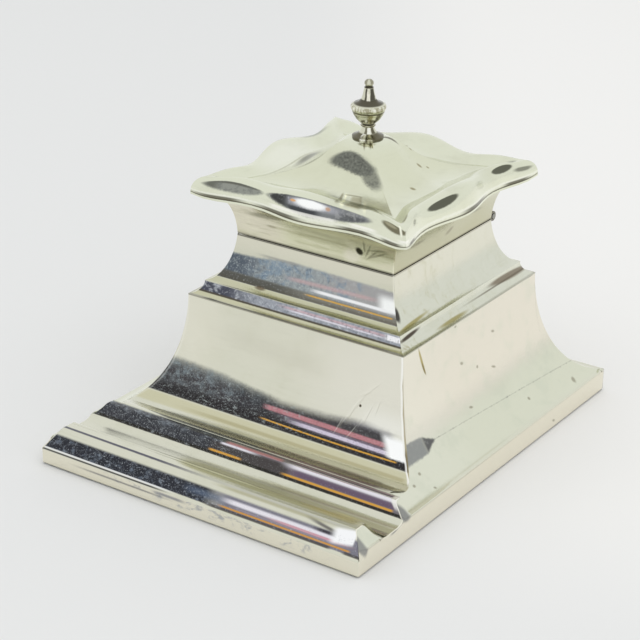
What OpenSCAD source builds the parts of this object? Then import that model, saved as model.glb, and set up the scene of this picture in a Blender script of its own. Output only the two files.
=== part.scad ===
// Desk inkstand: a mitred sheet-silver case with a pen tray in front, a stepped neck,
// a hinged lid with a waved rim and a turned finial, and a glass ink well that lifts out.
// Millimetres, +Z up, pen tray towards -Y, origin at the middle of the footprint on the desk.

/* [Base] */
// Width of the case across its plinth
base_w = 100; // [94:1:112]
// Height of the upright plinth on the sides and back
plinth_h = 6.6; // [5.5:0.1:8]
// Height of the silver's lower edge above the desk
foot_gap = 0.5; // [0.3:0.1:1]
// Thickness of the silver sheet
sheet = 0.9; // [0.6:0.05:1]

/* [Case] */
// Height of the step where the neck stands on the case
step_h = 37.6; // [34:0.2:42]
// Run of the side walls from the step out to the plinth
side_flare = 15.7; // [13:0.1:18]
// Run of the back wall from the step out to the plinth
back_flare = 15.7; // [13:0.1:20]
// Run of the front wall from the step out to the tray
front_flare = 13.5; // [12:0.1:16]
// Outward lean of the case walls below the step
case_lean = 0.4; // [0:0.1:2]

/* [Neck] */
// Height of the neck, from the step to the seam under the lid
neck_h = 16.8; // [15:0.1:20]
// Height of the edge between the neck's two hollows, above the step
band_h = 3.9; // [3.4:0.1:5]
// Run of the lower hollow
band_flare = 3.2; // [2.6:0.1:4]
// Run of the upper hollow
neck_flare = 6.3; // [5:0.1:8]
// Outward lean of the upper hollow
neck_lean = 1; // [0:0.1:1.5]
// Drop from the edge to the lower hollow
band_drop = 0.3; // [0.2:0.05:0.5]
// Upright edge along the foot of the neck
neck_edge = 0.3; // [0.2:0.05:0.6]

/* [Pen tray] */
// Height of the two ridges of the pen tray
ridge_h = 10; // [9.2:0.1:11]
// Rounding of the ridges
ridge_r = 1.2; // [1.1:0.1:1.6]
// Depth of the shallow hollow behind the rear ridge
hollow_d = 1.3; // [0.8:0.1:2]
// Run from that hollow up to the rear ridge
rise_run = 5.8; // [5:0.1:7]
// Flat width along the top of the rear ridge
rear_land = 0.8; // [0.4:0.1:1.2]
// Depth of the groove that a pen lies in
pen_d = 4.3; // [3.9:0.1:4.5]
// Radius of the groove's two flanks
pen_r = 5; // [4.6:0.1:6]
// Width of the groove's flat floor
pen_flat = 4; // [3:0.1:5]
// Flat width along the top of the front ridge
front_land = 2; // [1.4:0.1:2.4]
// Slope of the front ridge's face from level
front_slope = 51; // [46:1:54]
// Height of the tray's upright front
front_h = 4.3; // [3.6:0.1:5]
// Inset of the tray's ends at the ridges
end_inset = 3.8; // [3:0.1:4.6]
// Outward lean of the tray's ends
end_lean = 2.5; // [2:0.1:3]

/* [Base filling] */
// Thickness of the baize under the base
baize_t = 1; // [0.8:0.1:1.5]
// Thickness of the wooden base board
board_t = 3.2; // [2.4:0.1:3.4]
// Clearance of the filling, board and baize inside the silver
fill_gap = 0.2; // [0.1:0.05:0.4]

/* [Ink well] */
// Width of the deck left round the collar
deck_margin = 5.7; // [4:0.1:8]
// Thickness of the plate that closes the neck
deck_t = 0.8; // [0.6:0.1:1.2]
// Wall of the collar round the flange
collar_wall = 0.8; // [0.6:0.1:1.2]
// Height of the collar above the deck
collar_h = 3; // [2:0.1:3.5]
// Clearance round the glass well
glass_gap = 0.4; // [0.3:0.05:0.6]
// Overhang of the flange round the glass well
flange_w = 2; // [1.5:0.1:2.5]
// Thickness of the flange
flange_t = 2.5; // [1.8:0.1:3]
// Wall of the glass well
glass_wall = 2.2; // [1.6:0.1:3]
// Floor of the glass well
glass_floor = 3; // [2:0.25:5]
// Depth of the glass well below its flange
glass_depth = 32; // [26:0.5:36]
// Rounding of the glass
glass_round = 1.2; // [0.8:0.1:1.4]
// Thickness of the felt pad under the glass well
pad_t = 2; // [1:0.25:3]
// Clearance between felt and glass
pad_gap = 0.3; // [0.1:0.05:0.5]

/* [Lid] */
// Gap between neck and closed lid
lid_gap = 0.3; // [0.2:0.05:0.5]
// Height of the lid's skirt
skirt_h = 10.2; // [9:0.1:12]
// Run of the skirt from the seam out to the rim
skirt_flare = 4; // [3:0.1:5]
// Outward lean of the skirt
skirt_lean = 0.4; // [0:0.1:1]
// Thickness of the level plate under the rim
soffit_t = 0.6; // [0.4:0.1:1]
// Mean overhang of the waved rim beyond the skirt
rim_over = 1.7; // [1.5:0.1:3]
// Height of the rim's waves in plan
wave = 1.3; // [0.6:0.1:1.5]
// Reach of the lid's corners beyond the rim's mean line
corner_out = 3; // [2:0.1:4]
// Height of the lid's corner tips above the rest of the rim
tip_lift = 1.5; // [0.6:0.1:2]
// Height that the lid's slopes flatten out to, above the rim
eave_rise = 3.1; // [2.6:0.1:4]
// Height of the lip along the rim, above that
lip_rise = 1.9; // [1.2:0.1:2.4]
// Height of the boss in the middle of each side, above the lip
side_boss = 1.7; // [1:0.1:2.2]
// Height of the bosses beside each corner, above the lip
corner_boss = 0.6; // [0.3:0.1:1]
// Height of the flat crown above the eaves
crown_rise = 11.1; // [10:0.1:14]
// Width of flat crown left round the washer
crown_margin = 0.5; // [0.4:0.1:1]

/* [Hinge] */
// Distance of the hinge's ends from the corners of the neck
hinge_inset = 0.4; // [0.3:0.1:4]
// Number of knuckles
knuckles = 7; // [3:2:9]
// Radius of the knuckles
knuckle_r = 1.4; // [1.2:0.05:1.6]
// Radius of the hinge pin
pin_r = 0.7; // [0.5:0.05:0.8]
// Running clearance of the pin
pin_gap = 0.06; // [0.05:0.01:0.08]
// Gap between neighbouring knuckles
knuckle_gap = 0.25; // [0.2:0.05:0.4]
// Clearance between the knuckles and the sheet in front of them
sheet_gap = 0.4; // [0.3:0.05:0.6]
// Clearance between a leaf and the other leaf's knuckles
leaf_gap = 0.2; // [0.15:0.05:0.3]
// Thickness of the hinge leaves
leaf_t = 0.5; // [0.4:0.05:0.6]
// Height of the lid's leaf above the knuckles' gap
lid_leaf_h = 2.3; // [1.8:0.1:3]
// Height of the neck's leaf below the knuckles' gap
neck_leaf_h = 1.7; // [1.2:0.1:2]

/* [Finial] */
// Height of the finial above the crown
finial_h = 15.9; // [14:0.1:18]
// Radius of the finial's saucer
saucer_r = 4.75; // [4.4:0.05:5.2]
// Radius of the finial's foot
foot_r = 4.2; // [3.8:0.1:4.4]
// Radius of the screw under the finial
screw_r = 1.2; // [1:0.1:1.4]
// Length of the screw past its nut
screw_end = 0.9; // [0.5:0.1:1.5]
// Running clearance of the washer and nut on the screw
screw_gap = 0.06; // [0.05:0.01:0.1]
// Radius of the washer under the crown
washer_r = 3.2; // [3:0.1:3.6]
// Thickness of the washer
washer_t = 0.6; // [0.4:0.1:0.8]
// Height of the nut
nut_t = 2; // [1.6:0.1:2.4]
// Width across the nut's corners
nut_w = 5.2; // [4.6:0.1:5.6]

/* [Hidden] */

$fn = 64;
// Steps along a hollow, round a groove or ridge, and up the shallow rise behind the rear ridge
flare_steps = 14;
arc_steps = 8;
rise_steps = 6;
// Overlap that lets a cutter pass through a face
eps = 1;
base_half = base_w / 2;
step_half = base_half - side_flare;
back_reach = step_half + back_flare;
hollow_reach = step_half + front_flare;
band_half = step_half - band_flare;
seam_half = band_half - neck_flare;
skirt_half = seam_half + skirt_flare;
rim_half = skirt_half + rim_over;
corner_reach = rim_half + corner_out;
band_z = step_h + band_h;
seam_h = step_h + neck_h;
rim_h = seam_h + lid_gap + skirt_h;
eave_h = rim_h + soffit_t + eave_rise;
crown_h = eave_h + crown_rise;

// Polished silver, glass, felt, wood and filling as drawn
silver = [0.82, 0.82, 0.76];
worn_silver = [0.74, 0.74, 0.68];

// A hollow that leaves its upper end nearly upright and meets its lower end level:
// a quarter of an ellipse from [x0, z0] down to [x1, z1], leaning out by lean
function flare(x0, z0, x1, z1, lean) = [
    for (i = [0 : flare_steps]) let (a = 90 * i / flare_steps)
        [x0 + lean * sin(a) + (x1 - x0 - lean) * (1 - cos(a)), z0 - (z0 - z1) * sin(a)]
];

// An arc about [cx, cz] from angle a0 to a1, measured from +Z towards +X
function arc(cx, cz, r, a0, a1) = [
    for (i = [0 : arc_steps]) let (a = a0 + (a1 - a0) * i / arc_steps)
        [cx + r * sin(a), cz + r * cos(a)]
];

function reversed(line) = [for (i = [len(line) - 1 : -1 : 0]) line[i]];
function mirrored(line) = [for (p = line) [-p[0], p[1]]];
function distinct(line) = [
    for (i = [0 : len(line) - 1]) if (i == 0 || norm(line[i] - line[i - 1]) > 0.001) line[i]
];

// Outline of a side or back wall, as [distance out, height], moved in by t
function wall_line(foot, t) = concat(
    flare(step_half - t, step_h, foot - t, plinth_h - t, case_lean),
    [[foot - t, foot_gap]]
);

// Pen tray: the groove's flanks are arcs, and each touches the arc of its ridge
hollow_h = ridge_h - hollow_d;
ridge_cz = ridge_h - ridge_r;
pen_cz = ridge_h - pen_d + pen_r;
ridge_dx = sqrt(pow(pen_r + ridge_r, 2) - pow(pen_cz - ridge_cz, 2));
touch_a = atan2(ridge_dx, pen_cz - ridge_cz);
fold_reach = hollow_reach + rise_run;
rear_ridge = fold_reach + rear_land;
rear_floor = rear_ridge + ridge_dx;
front_floor = rear_floor + pen_flat;
front_ridge = front_floor + ridge_dx;
front_crest = front_ridge + front_land;
// Where the front ridge's face leaves the rounding, moved in by t
function slope_top(t) = [
    front_crest + (ridge_r - t) * sin(front_slope),
    ridge_cz + (ridge_r - t) * cos(front_slope)
];
tray_reach = slope_top(0)[0] + (slope_top(0)[1] - front_h) / tan(front_slope);
// Shift of the lid's centre line behind the middle of the footprint
axis_y = (tray_reach - back_reach) / 2;
// Half width of a cutter that spans the whole object
span = 2 * (base_w + tray_reach);

// Outline of the front from the step to the foot, as [distance forward, height], moved in by t
function tray_line(t) = let (
    crest_r = ridge_r - t,
    top = slope_top(t),
    front_x = tray_reach - t
) concat(
    flare(step_half - t, step_h, hollow_reach, hollow_h - t, case_lean),
    [for (i = [1 : rise_steps - 1]) let (f = i / rise_steps)
        [hollow_reach + rise_run * f, hollow_h - t + hollow_d * (1 - cos(180 * f)) / 2]],
    [[fold_reach, ridge_h - t]],
    arc(rear_ridge, ridge_cz, crest_r, 0, touch_a),
    arc(rear_floor, pen_cz, pen_r + t, 180 + touch_a, 180),
    arc(front_floor, pen_cz, pen_r + t, 180, 180 - touch_a),
    arc(front_ridge, ridge_cz, crest_r, -touch_a, 0),
    arc(front_crest, ridge_cz, crest_r, 0, front_slope),
    [[front_x, top[1] - (front_x - top[0]) * tan(front_slope)], [front_x, foot_gap]]
);
// Outline of the tray's ends, as [distance out, height], moved in by t; it starts above the ridges
end_half = base_half - end_inset;
function end_line(t) = concat(
    [[end_half - t - end_lean * eps / (ridge_h - plinth_h), ridge_h + eps]],
    flare(end_half - t, ridge_h, base_half - t, plinth_h - t, end_lean),
    [[base_half - t, foot_gap]]
);

// Outline of the neck from the seam to the step, as [distance out, height], moved in by t
function neck_line(t) = distinct(concat(
    flare(seam_half - t, seam_h, band_half - t, band_z - t, neck_lean),
    [for (p = flare(band_half - t, band_z - band_drop - t, step_half - t, step_h + neck_edge - t, case_lean))
        [p[0], max(p[1], step_h)]],
    [[step_half - t, step_h]]
));

// Outline of the lid's skirt from the rim down to the seam, moved in by t
skirt_foot = seam_h + lid_gap;
function skirt_line(t) = [
    for (p = flare(seam_half - t, -skirt_foot, skirt_half - t, -rim_h - t, skirt_lean))
        [p[0], min(-p[1], rim_h)]
];

// A band between two lines
module band(outer, inner) {
    polygon(concat(outer, reversed(inner)));
}

// The profile drawn in X-Z, drawn out along Y, and the profile [distance forward, height]
// drawn out along X
module along_y(from, to) {
    translate([0, to, 0]) rotate([90, 0, 0]) linear_extrude(to - from) children();
}
module along_x(length) {
    rotate([90, 0, 0]) rotate([0, -90, 0]) translate([0, 0, -length / 2])
        linear_extrude(length) children();
}

// Front quarter of the plan, between the mitre planes
module front_quarter() {
    linear_extrude(span) polygon([[0, 0], [span, -span], [-span, -span]]);
}
// A mitred wall in front, turned to one of the four sides
module mitred_wall(turn, length) {
    rotate([0, 0, turn]) intersection() {
        along_x(length) children();
        front_quarter();
    }
}

// Everything is drawn about the lid's centre line and moved to the footprint's origin
module placed() {
    translate([0, axis_y, 0]) children();
}

// ---- case ----

// Whole case seen from the side, moved in by t at front and back
module case_profile_x(t) {
    along_x(span) polygon(concat(tray_line(t), mirrored(reversed(wall_line(back_reach, t)))));
}
// Whole case seen from the front, moved in by t at both sides; the tray's ends start at the fold
module case_profile_y(t) {
    along_y(-fold_reach - t, back_reach + eps)
        polygon(concat(wall_line(base_half, t), mirrored(reversed(wall_line(base_half, t)))));
    along_y(-tray_reach - eps, -fold_reach - t)
        polygon(concat(end_line(t), mirrored(reversed(end_line(t)))));
}
module front_panel() {
    color(silver) placed() intersection() {
        along_x(span) band(tray_line(0), tray_line(sheet));
        case_profile_y(sheet);
    }
}
module back_panel() {
    color(silver) placed() intersection() {
        along_x(span) band(mirrored(wall_line(back_reach, 0)), mirrored(wall_line(back_reach, sheet)));
        case_profile_y(sheet);
    }
}
module side_panel() {
    intersection() {
        difference() {
            case_profile_y(0);
            case_profile_y(sheet);
        }
        case_profile_x(0);
        translate([0, -span / 2, 0]) cube(span);
    }
}
module right_panel() {
    color(silver) placed() side_panel();
}
module left_panel() {
    color(silver) placed() mirror([1, 0, 0]) side_panel();
}

// ---- neck ----

module neck_wall(turn) {
    color(silver) placed() mitred_wall(turn, 2 * (step_half + eps)) band(neck_line(0), neck_line(sheet));
}
module neck_front() { neck_wall(0); }
module neck_right() { neck_wall(90); }
module neck_back() { neck_wall(180); }
module neck_left() { neck_wall(270); }

// ---- ink well ----

deck_half = seam_half - sheet;
collar_r = deck_half - deck_margin - collar_wall;
flange_r = collar_r - glass_gap;
glass_r = flange_r - flange_w;
bore_r = glass_r - glass_wall;
well_r = glass_r + glass_gap;
glass_foot = seam_h - glass_depth;
glass_top = seam_h + flange_t;
pad_top = glass_foot - pad_gap;

module well_deck() {
    color(worn_silver) placed() difference() {
        translate([-deck_half, -deck_half, seam_h - deck_t]) cube([2 * deck_half, 2 * deck_half, deck_t]);
        translate([0, 0, seam_h - deck_t - eps]) cylinder(h = deck_t + 2 * eps, r = well_r);
    }
}
module well_collar() {
    color(silver) placed() translate([0, 0, seam_h]) difference() {
        cylinder(h = collar_h, r = collar_r + collar_wall);
        translate([0, 0, -eps]) cylinder(h = collar_h + 2 * eps, r = collar_r);
    }
}
module well_pad() {
    color("darkgreen") placed() translate([0, 0, pad_top - pad_t]) cylinder(h = pad_t, r = glass_r);
}
module ink_glass() {
    lip = glass_round / 2;
    well_floor = glass_foot + glass_floor;
    color([0.85, 0.93, 0.92, 0.5]) placed() rotate_extrude() polygon([
        [0, glass_foot], [glass_r - glass_round, glass_foot],
        [glass_r - glass_round / 3, glass_foot + glass_round / 3], [glass_r, glass_foot + glass_round],
        [glass_r, seam_h], [flange_r, seam_h], [flange_r, glass_top - lip], [flange_r - lip, glass_top],
        [bore_r + lip, glass_top], [bore_r, glass_top - lip],
        [bore_r, well_floor + glass_round], [bore_r - glass_round, well_floor], [0, well_floor]
    ]);
}

// ---- filling and base ----

board_top = baize_t + board_t;
fill_in = sheet + fill_gap;

// The filling stands behind the case walls and stops at the shallow hollow of the tray
module case_filling() {
    front = flare(step_half - fill_in, step_h, hollow_reach, hollow_h - fill_in, case_lean);
    back = flare(step_half - fill_in, step_h, back_reach - fill_in, plinth_h - fill_in, case_lean);
    side = flare(step_half - fill_in, step_h, base_half - fill_in, plinth_h - fill_in, case_lean);
    intersection() {
        along_x(span) polygon(concat(front, [[hollow_reach, board_top], [-back_reach + fill_in, board_top]],
            mirrored(reversed(back))));
        along_y(-hollow_reach - eps, back_reach + eps) polygon(concat(side,
            [[base_half - fill_in, board_top], [-base_half + fill_in, board_top]],
            mirrored(reversed(side))));
    }
}
// Above the step it fills the neck up to the deck
module neck_filling() {
    edge = [for (p = neck_line(fill_in)) if (p[1] < seam_h - deck_t && p[1] > step_h) p];
    side = concat([[edge[0][0], seam_h - deck_t]], edge, [[edge[len(edge) - 1][0], step_h]]);
    outline = concat(side, mirrored(reversed(side)));
    intersection() {
        along_x(span) polygon(outline);
        along_y(-step_half, step_half) polygon(outline);
    }
}
module loading_fill() {
    color("dimgray") placed() difference() {
        union() {
            case_filling();
            neck_filling();
        }
        translate([0, 0, pad_top - pad_t]) cylinder(h = seam_h, r = well_r);
    }
}
// A slab inside the foot of the silver
module foot_slab(low, high) {
    edge = sheet + fill_gap;
    translate([-base_half + edge, -tray_reach + edge, low])
        cube([base_w - 2 * edge, tray_reach + back_reach - 2 * edge, high - low]);
}
module base_board() {
    color("saddlebrown") placed() intersection() {
        foot_slab(baize_t, board_top);
        case_profile_x(fill_in);
        case_profile_y(fill_in);
    }
}
module base_baize() {
    color("darkgreen") placed() foot_slab(0, baize_t);
}

// ---- hinge ----

hinge_len = 2 * (seam_half - hinge_inset);
hinge_y = seam_half + sheet_gap + knuckle_r;
hinge_z = seam_h + lid_gap / 2;
pitch = hinge_len / knuckles;
// The leaves' outer faces stand off the sheet, and their plates stop short of the knuckles
leaf_clear = knuckle_r + leaf_gap;
arm_h = leaf_clear + leaf_t;

module knuckle(i) {
    translate([-hinge_len / 2 + i * pitch + knuckle_gap / 2, hinge_y, hinge_z]) rotate([0, 90, 0])
        cylinder(h = pitch - knuckle_gap, r = knuckle_r);
}
// The arm that ties a knuckle to its leaf, above or below the hinge line
module knuckle_arm(i, up) {
    translate([-hinge_len / 2 + i * pitch + knuckle_gap / 2, seam_half + sheet_gap, hinge_z - (up ? 0 : arm_h)])
        cube([pitch - knuckle_gap, leaf_t, arm_h]);
}
// The plate of a leaf is dressed to the curve of the sheet behind it
module leaf_plate(low, high) {
    difference() {
        translate([-hinge_len / 2 + knuckle_gap / 2, seam_half - eps, hinge_z + low])
            cube([hinge_len - knuckle_gap, sheet_gap + leaf_t + eps, high - low]);
        rotate([0, 0, 180]) along_x(span) polygon(concat([[0, rim_h]], reversed(skirt_line(0)),
            neck_line(0), [[0, step_h]]));
    }
}
module hinge_leaf(first, up, low, high) {
    difference() {
        union() {
            leaf_plate(low, high);
            for (i = [first : 2 : knuckles - 1]) {
                knuckle(i);
                knuckle_arm(i, up);
            }
        }
        translate([-hinge_len, hinge_y, hinge_z]) rotate([0, 90, 0])
            cylinder(h = 2 * hinge_len, r = pin_r + pin_gap);
    }
}
module hinge_neck_leaf() {
    color(worn_silver) placed() hinge_leaf(0, false, -leaf_clear - neck_leaf_h, -leaf_clear);
}
module hinge_lid_leaf() {
    color(worn_silver) placed() hinge_leaf(1, true, leaf_clear, leaf_clear + lid_leaf_h);
}
module hinge_pin() {
    color("gray") placed() translate([-hinge_len / 2, hinge_y, hinge_z]) rotate([0, 90, 0])
        cylinder(h = hinge_len, r = pin_r);
}

// ---- lid ----

// Points along one side of the rim, and rings from the crown's hole out to the rim
side_steps = 20;
hole_at = (screw_r + 2 * screw_gap) / (rim_half - sheet);
crown_at = (washer_r + crown_margin) / (rim_half - sheet);
ring_at = [
    hole_at, crown_at, 0.2, 0.28, 0.36, 0.44, 0.52, 0.6, 0.68, 0.76, 0.83, 0.88,
    0.915, 0.945, 0.97, 0.988, 1
];
// How fast the slopes fall from the crown
slope_at = 0.24;
slope_power = 2.6;
// Where the rings turn from round to square, where the side bosses and the lip begin,
// where the lip is highest and where it rolls over
square_at = 0.5;
boss_at = 0.52;
lip_at = 0.7;
crest_at = 0.9;
roll_at = 0.92;
tip_power = 10;

function clamp01(v) = min(max(v, 0), 1);
function smooth(v) = let (c = clamp01(v)) c * c * (3 - 2 * c);
// Rim in plan on the front side: u runs from corner to corner, -1 to 1
function rim_out(u, t) = rim_half - t + wave * cos(360 * u) + (corner_reach - rim_half - wave) * pow(u, 6);
function rim_point(u, t) = [(corner_reach - t) * u, -rim_out(u, t)];
function rim_top(u) = rim_h + soffit_t + tip_lift * pow(u, tip_power);
// The same point pulled in to the ring at r, rounder towards the crown
function ring_point(u, t, r) = let (
    p = rim_point(u, t) * r,
    round = (rim_half - t) * r * p / norm(p),
    f = smooth(r / square_at)
) round + (p - round) * f;
function slope_h(r) = eave_h + (crown_h - eave_h) / (1 + pow(max(r - crown_at, 0) / slope_at, slope_power));
// The side boss is a half oval that reaches furthest in at the middle of the side
function side_boss_h(u, r) = let (start = boss_at + (crest_at - boss_at) * 0.65 * pow(2 * u, 2))
    abs(u) < 0.5 ? side_boss * (1 + cos(360 * u)) / 2 * smooth((r - start) / (crest_at - start)) : 0;
function corner_boss_h(u, r) =
    abs(u) > 0.5 ? corner_boss * (1 - cos(720 * u)) / 2 * smooth((r - lip_at) / (crest_at - lip_at)) : 0;
function roll(r) = let (f = clamp01((r - roll_at) / (1 - roll_at))) 1 - sqrt(1 - f * f);
function lid_h(u, r) = let (
    lip = lip_rise * smooth((r - lip_at) / (crest_at - lip_at)),
    h = slope_h(r) + lip + side_boss_h(u, r) + corner_boss_h(u, r)
) h - (h - rim_top(u)) * roll(r);
// One ring of the lid's skin, t inside the outer face
function lid_ring(r, t) = [
    for (side = [0 : 3]) for (i = [0 : side_steps - 1]) let (
        u = -1 + 2 * i / side_steps,
        p = ring_point(u, t, r),
        turn = 90 * side,
        drop = r < 1 ? t * (1 - roll(r)) : 0
    ) [p[0] * cos(turn) - p[1] * sin(turn), p[0] * sin(turn) + p[1] * cos(turn), lid_h(u, r) - drop]
];
// A closed tube of rings: each ring joins the next, and the last joins the first
module ring_solid(rings) {
    n = len(rings[0]);
    m = len(rings);
    polyhedron(
        points = [for (ring = rings) for (p = ring) p],
        faces = [for (j = [0 : m - 1]) for (i = [0 : n - 1]) for (half = [0, 1]) let (
            a = j * n + i, b = j * n + (i + 1) % n,
            c = (j + 1) % m * n + (i + 1) % n, d = (j + 1) % m * n + i
        ) half == 0 ? [a, b, c] : [a, c, d]],
        convexity = 6
    );
}
module lid_top() {
    color(silver) placed() ring_solid(concat(
        [for (r = ring_at) lid_ring(r, 0)],
        [for (r = reversed(ring_at)) lid_ring(r, sheet)]
    ));
}
// A square ring of as many points as the rim, at half width half and height z
function square_ring(half, z) = [
    for (side = [0 : 3]) for (i = [0 : side_steps - 1]) let (u = -1 + 2 * i / side_steps, turn = 90 * side)
        [half * (u * cos(turn) + sin(turn)), half * (u * sin(turn) - cos(turn)), z]
];
module lid_soffit() {
    hole_half = skirt_half - 2 * sheet;
    rim = lid_ring(1, 0);
    color(silver) placed() ring_solid([
        square_ring(hole_half, rim_h + soffit_t),
        rim,
        [for (p = rim) [p[0], p[1], p[2] - soffit_t]],
        square_ring(hole_half, rim_h)
    ]);
}
module skirt_wall(turn) {
    color(silver) placed() mitred_wall(turn, 2 * (skirt_half + eps)) band(skirt_line(0), skirt_line(sheet));
}
module skirt_front() { skirt_wall(0); }
module skirt_right() { skirt_wall(90); }
module skirt_back() { skirt_wall(180); }
module skirt_left() { skirt_wall(270); }

// ---- finial ----

// Turned profile as [radius, share of the finial's height]
finial_line = [
    [foot_r, 0], [foot_r, 0.03], [foot_r * 0.62, 0.075], [2.05, 0.12], [1.75, 0.165], [1.6, 0.19],
    [1.95, 0.205], [1.95, 0.225], [1.6, 0.24], [2.3, 0.27], [3.25, 0.33], [4.05, 0.41], [4.3, 0.45],
    [4.3, 0.465], [saucer_r - 0.2, 0.49], [saucer_r, 0.53], [saucer_r - 0.2, 0.57], [4.0, 0.59],
    [2.6, 0.62], [1.95, 0.67], [1.6, 0.75], [1.3, 0.84], [1.2, 0.87], [0.95, 0.875], [0.95, 0.89],
    [1.15, 0.905], [1.25, 0.935], [1.1, 0.97], [0.7, 0.993], [0, 1]
];
module finial() {
    screw_len = sheet + washer_t + nut_t + screw_end;
    color(silver) placed() translate([0, 0, crown_h]) rotate_extrude()
        polygon(concat([[0, -screw_len], [screw_r, -screw_len], [screw_r, 0]],
            [for (p = finial_line) [p[0], p[1] * finial_h]]));
}
module finial_washer() {
    color(worn_silver) placed() translate([0, 0, crown_h - sheet - washer_t]) difference() {
        cylinder(h = washer_t, r = washer_r);
        translate([0, 0, -eps]) cylinder(h = washer_t + 2 * eps, r = screw_r + screw_gap);
    }
}
module finial_nut() {
    color(worn_silver) placed() translate([0, 0, crown_h - sheet - washer_t - nut_t]) difference() {
        cylinder(h = nut_t, r = nut_w / 2, $fn = 6);
        translate([0, 0, -eps]) cylinder(h = nut_t + 2 * eps, r = screw_r + screw_gap);
    }
}

front_panel();
back_panel();
left_panel();
right_panel();
neck_front();
neck_back();
neck_left();
neck_right();
well_deck();
well_collar();
loading_fill();
well_pad();
base_board();
base_baize();
hinge_neck_leaf();
hinge_pin();
ink_glass();
lid_top();
lid_soffit();
skirt_front();
skirt_back();
skirt_left();
skirt_right();
hinge_lid_leaf();
finial();
finial_washer();
finial_nut();
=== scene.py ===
import bpy, bmesh, math
from mathutils import Matrix, Vector


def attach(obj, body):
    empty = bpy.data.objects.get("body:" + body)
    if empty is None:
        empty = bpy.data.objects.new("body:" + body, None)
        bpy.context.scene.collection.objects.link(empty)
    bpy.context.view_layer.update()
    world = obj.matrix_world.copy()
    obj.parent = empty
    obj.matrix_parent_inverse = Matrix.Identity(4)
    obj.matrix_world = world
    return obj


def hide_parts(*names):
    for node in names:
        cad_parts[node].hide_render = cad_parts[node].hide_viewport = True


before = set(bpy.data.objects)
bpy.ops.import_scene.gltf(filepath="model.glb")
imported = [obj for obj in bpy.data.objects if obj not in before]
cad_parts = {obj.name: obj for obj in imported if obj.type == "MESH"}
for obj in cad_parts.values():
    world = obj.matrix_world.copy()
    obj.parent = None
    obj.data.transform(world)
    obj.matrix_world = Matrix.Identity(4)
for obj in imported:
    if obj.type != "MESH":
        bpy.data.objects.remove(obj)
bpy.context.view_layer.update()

bpy.ops.object.select_all(action="DESELECT")

# ---- table, lamps and camera ----
# A pale paper sweep under a large soft lamp from the left. The world fills in
# The rest, and shows as the pale studio in whatever is polished or clear.
scene = bpy.context.scene
scene.view_settings.view_transform = "Standard"
# The lid's axis stands this far behind the middle of the foot, in millimetres
axis_y = 13.6958


def tone(red, green, blue):
    def linear(c):
        c = c / 255
        return c / 12.92 if c <= 0.04045 else ((c + 0.055) / 1.055) ** 2.4
    return (linear(red), linear(green), linear(blue), 1)


class Reading:
    # A number that changes over a surface; sums written on it add Math nodes
    def __init__(self, wires, socket):
        self.wires, self.socket = wires, socket

    def both_ways(operation):
        return (lambda self, other: self.wires.sum(operation, self, other),
                lambda self, other: self.wires.sum(operation, other, self))

    __add__, __radd__ = both_ways("ADD")
    __sub__, __rsub__ = both_ways("SUBTRACT")
    __mul__, __rmul__ = both_ways("MULTIPLY")
    __truediv__, __rtruediv__ = both_ways("DIVIDE")
    __pow__, __rpow__ = both_ways("POWER")

    def __abs__(self):
        return self.wires.sum("ABSOLUTE", self, 0)

    # 0 below low and 1 above high
    def up(self, low, high):
        return self.wires.node("MapRange", {"interpolation_type": "SMOOTHSTEP"},
                               {0: self, 1: low, 2: high})

    def down(self, low, high):
        return 1 - self.up(low, high)

    # 1 between low and high, with edges that are soft over this much
    def span(self, low, high, soft, soft_high=None):
        soft_high = soft if soft_high is None else soft_high
        return (self - low).up(-soft, soft) * (self - high).down(-soft_high, soft_high)


class Wires:
    # The nodes of a material or of the world
    def __init__(self, tree):
        self.tree = tree

    def node(self, kind, settings, sockets, out=0):
        made = self.tree.nodes.new("ShaderNode" + kind)
        for key, value in settings.items():
            if key == "stops":
                ramp = made.color_ramp
                for at, shade in value[1:-1]:
                    ramp.elements.new(at).color = shade
                for end in (0, -1):
                    ramp.elements[end].position, ramp.elements[end].color = value[end]
            else:
                setattr(made, key, value)
        for key, value in sockets.items():
            if isinstance(value, Reading):
                self.tree.links.new(value.socket, made.inputs[key])
            else:
                made.inputs[key].default_value = value
        if out is None:
            return [Reading(self, socket) for socket in made.outputs]
        return Reading(self, made.outputs[out])

    def sum(self, operation, a, b):
        return self.node("Math", {"operation": operation}, {0: a, 1: b})


class Finish(Wires):
    # The surface of one piece, painted layer by layer in millimetres about the lid's axis
    def __init__(self, name, colour, metallic, roughness):
        self.material = bpy.data.materials.new(name)
        self.material.use_nodes = True
        super().__init__(self.material.node_tree)
        self.skin = self.tree.nodes["Principled BSDF"]
        self.colour = colour
        self.put("Base Color", colour)
        self.put("Metallic", metallic)
        self.put("Roughness", roughness)
        place = self.node("TexCoord", {}, {}, "Object")
        self.place = self.node("VectorMath", {"operation": "MULTIPLY_ADD"},
                               {0: place, 1: (1000, 1000, 1000), 2: (0, -axis_y, 0)})
        self.xyz = self.x, self.y, self.z = self.node("SeparateXYZ", {}, {0: self.place}, None)

    def put(self, name, value):
        self.skin.inputs[name].default_value = value

    def drive(self, name, value):
        self.tree.links.new(value.socket, self.skin.inputs[name])

    def grain(self, scale, detail=3.0, rough=0.55, warp=0.0, stretch=(1, 1, 1), shift=(0, 0, 0)):
        at = self.node("VectorMath", {"operation": "MULTIPLY_ADD"},
                       {0: self.place, 1: stretch, 2: shift})
        return self.node("TexNoise", {}, {
            "Vector": at, "Scale": scale, "Detail": detail, "Roughness": rough, "Distortion": warp})

    def lay(self, mask, red, green, blue):
        self.colour = self.node("Mix", {"data_type": "RGBA"},
                                {0: mask, 6: self.colour, 7: tone(red, green, blue)}, 2)
        self.drive("Base Color", self.colour)

    def emboss(self, height, depth, strength=1.0):
        self.drive("Normal", self.node("Bump", {}, {
            "Height": height, "Distance": depth, "Strength": strength}))


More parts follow.
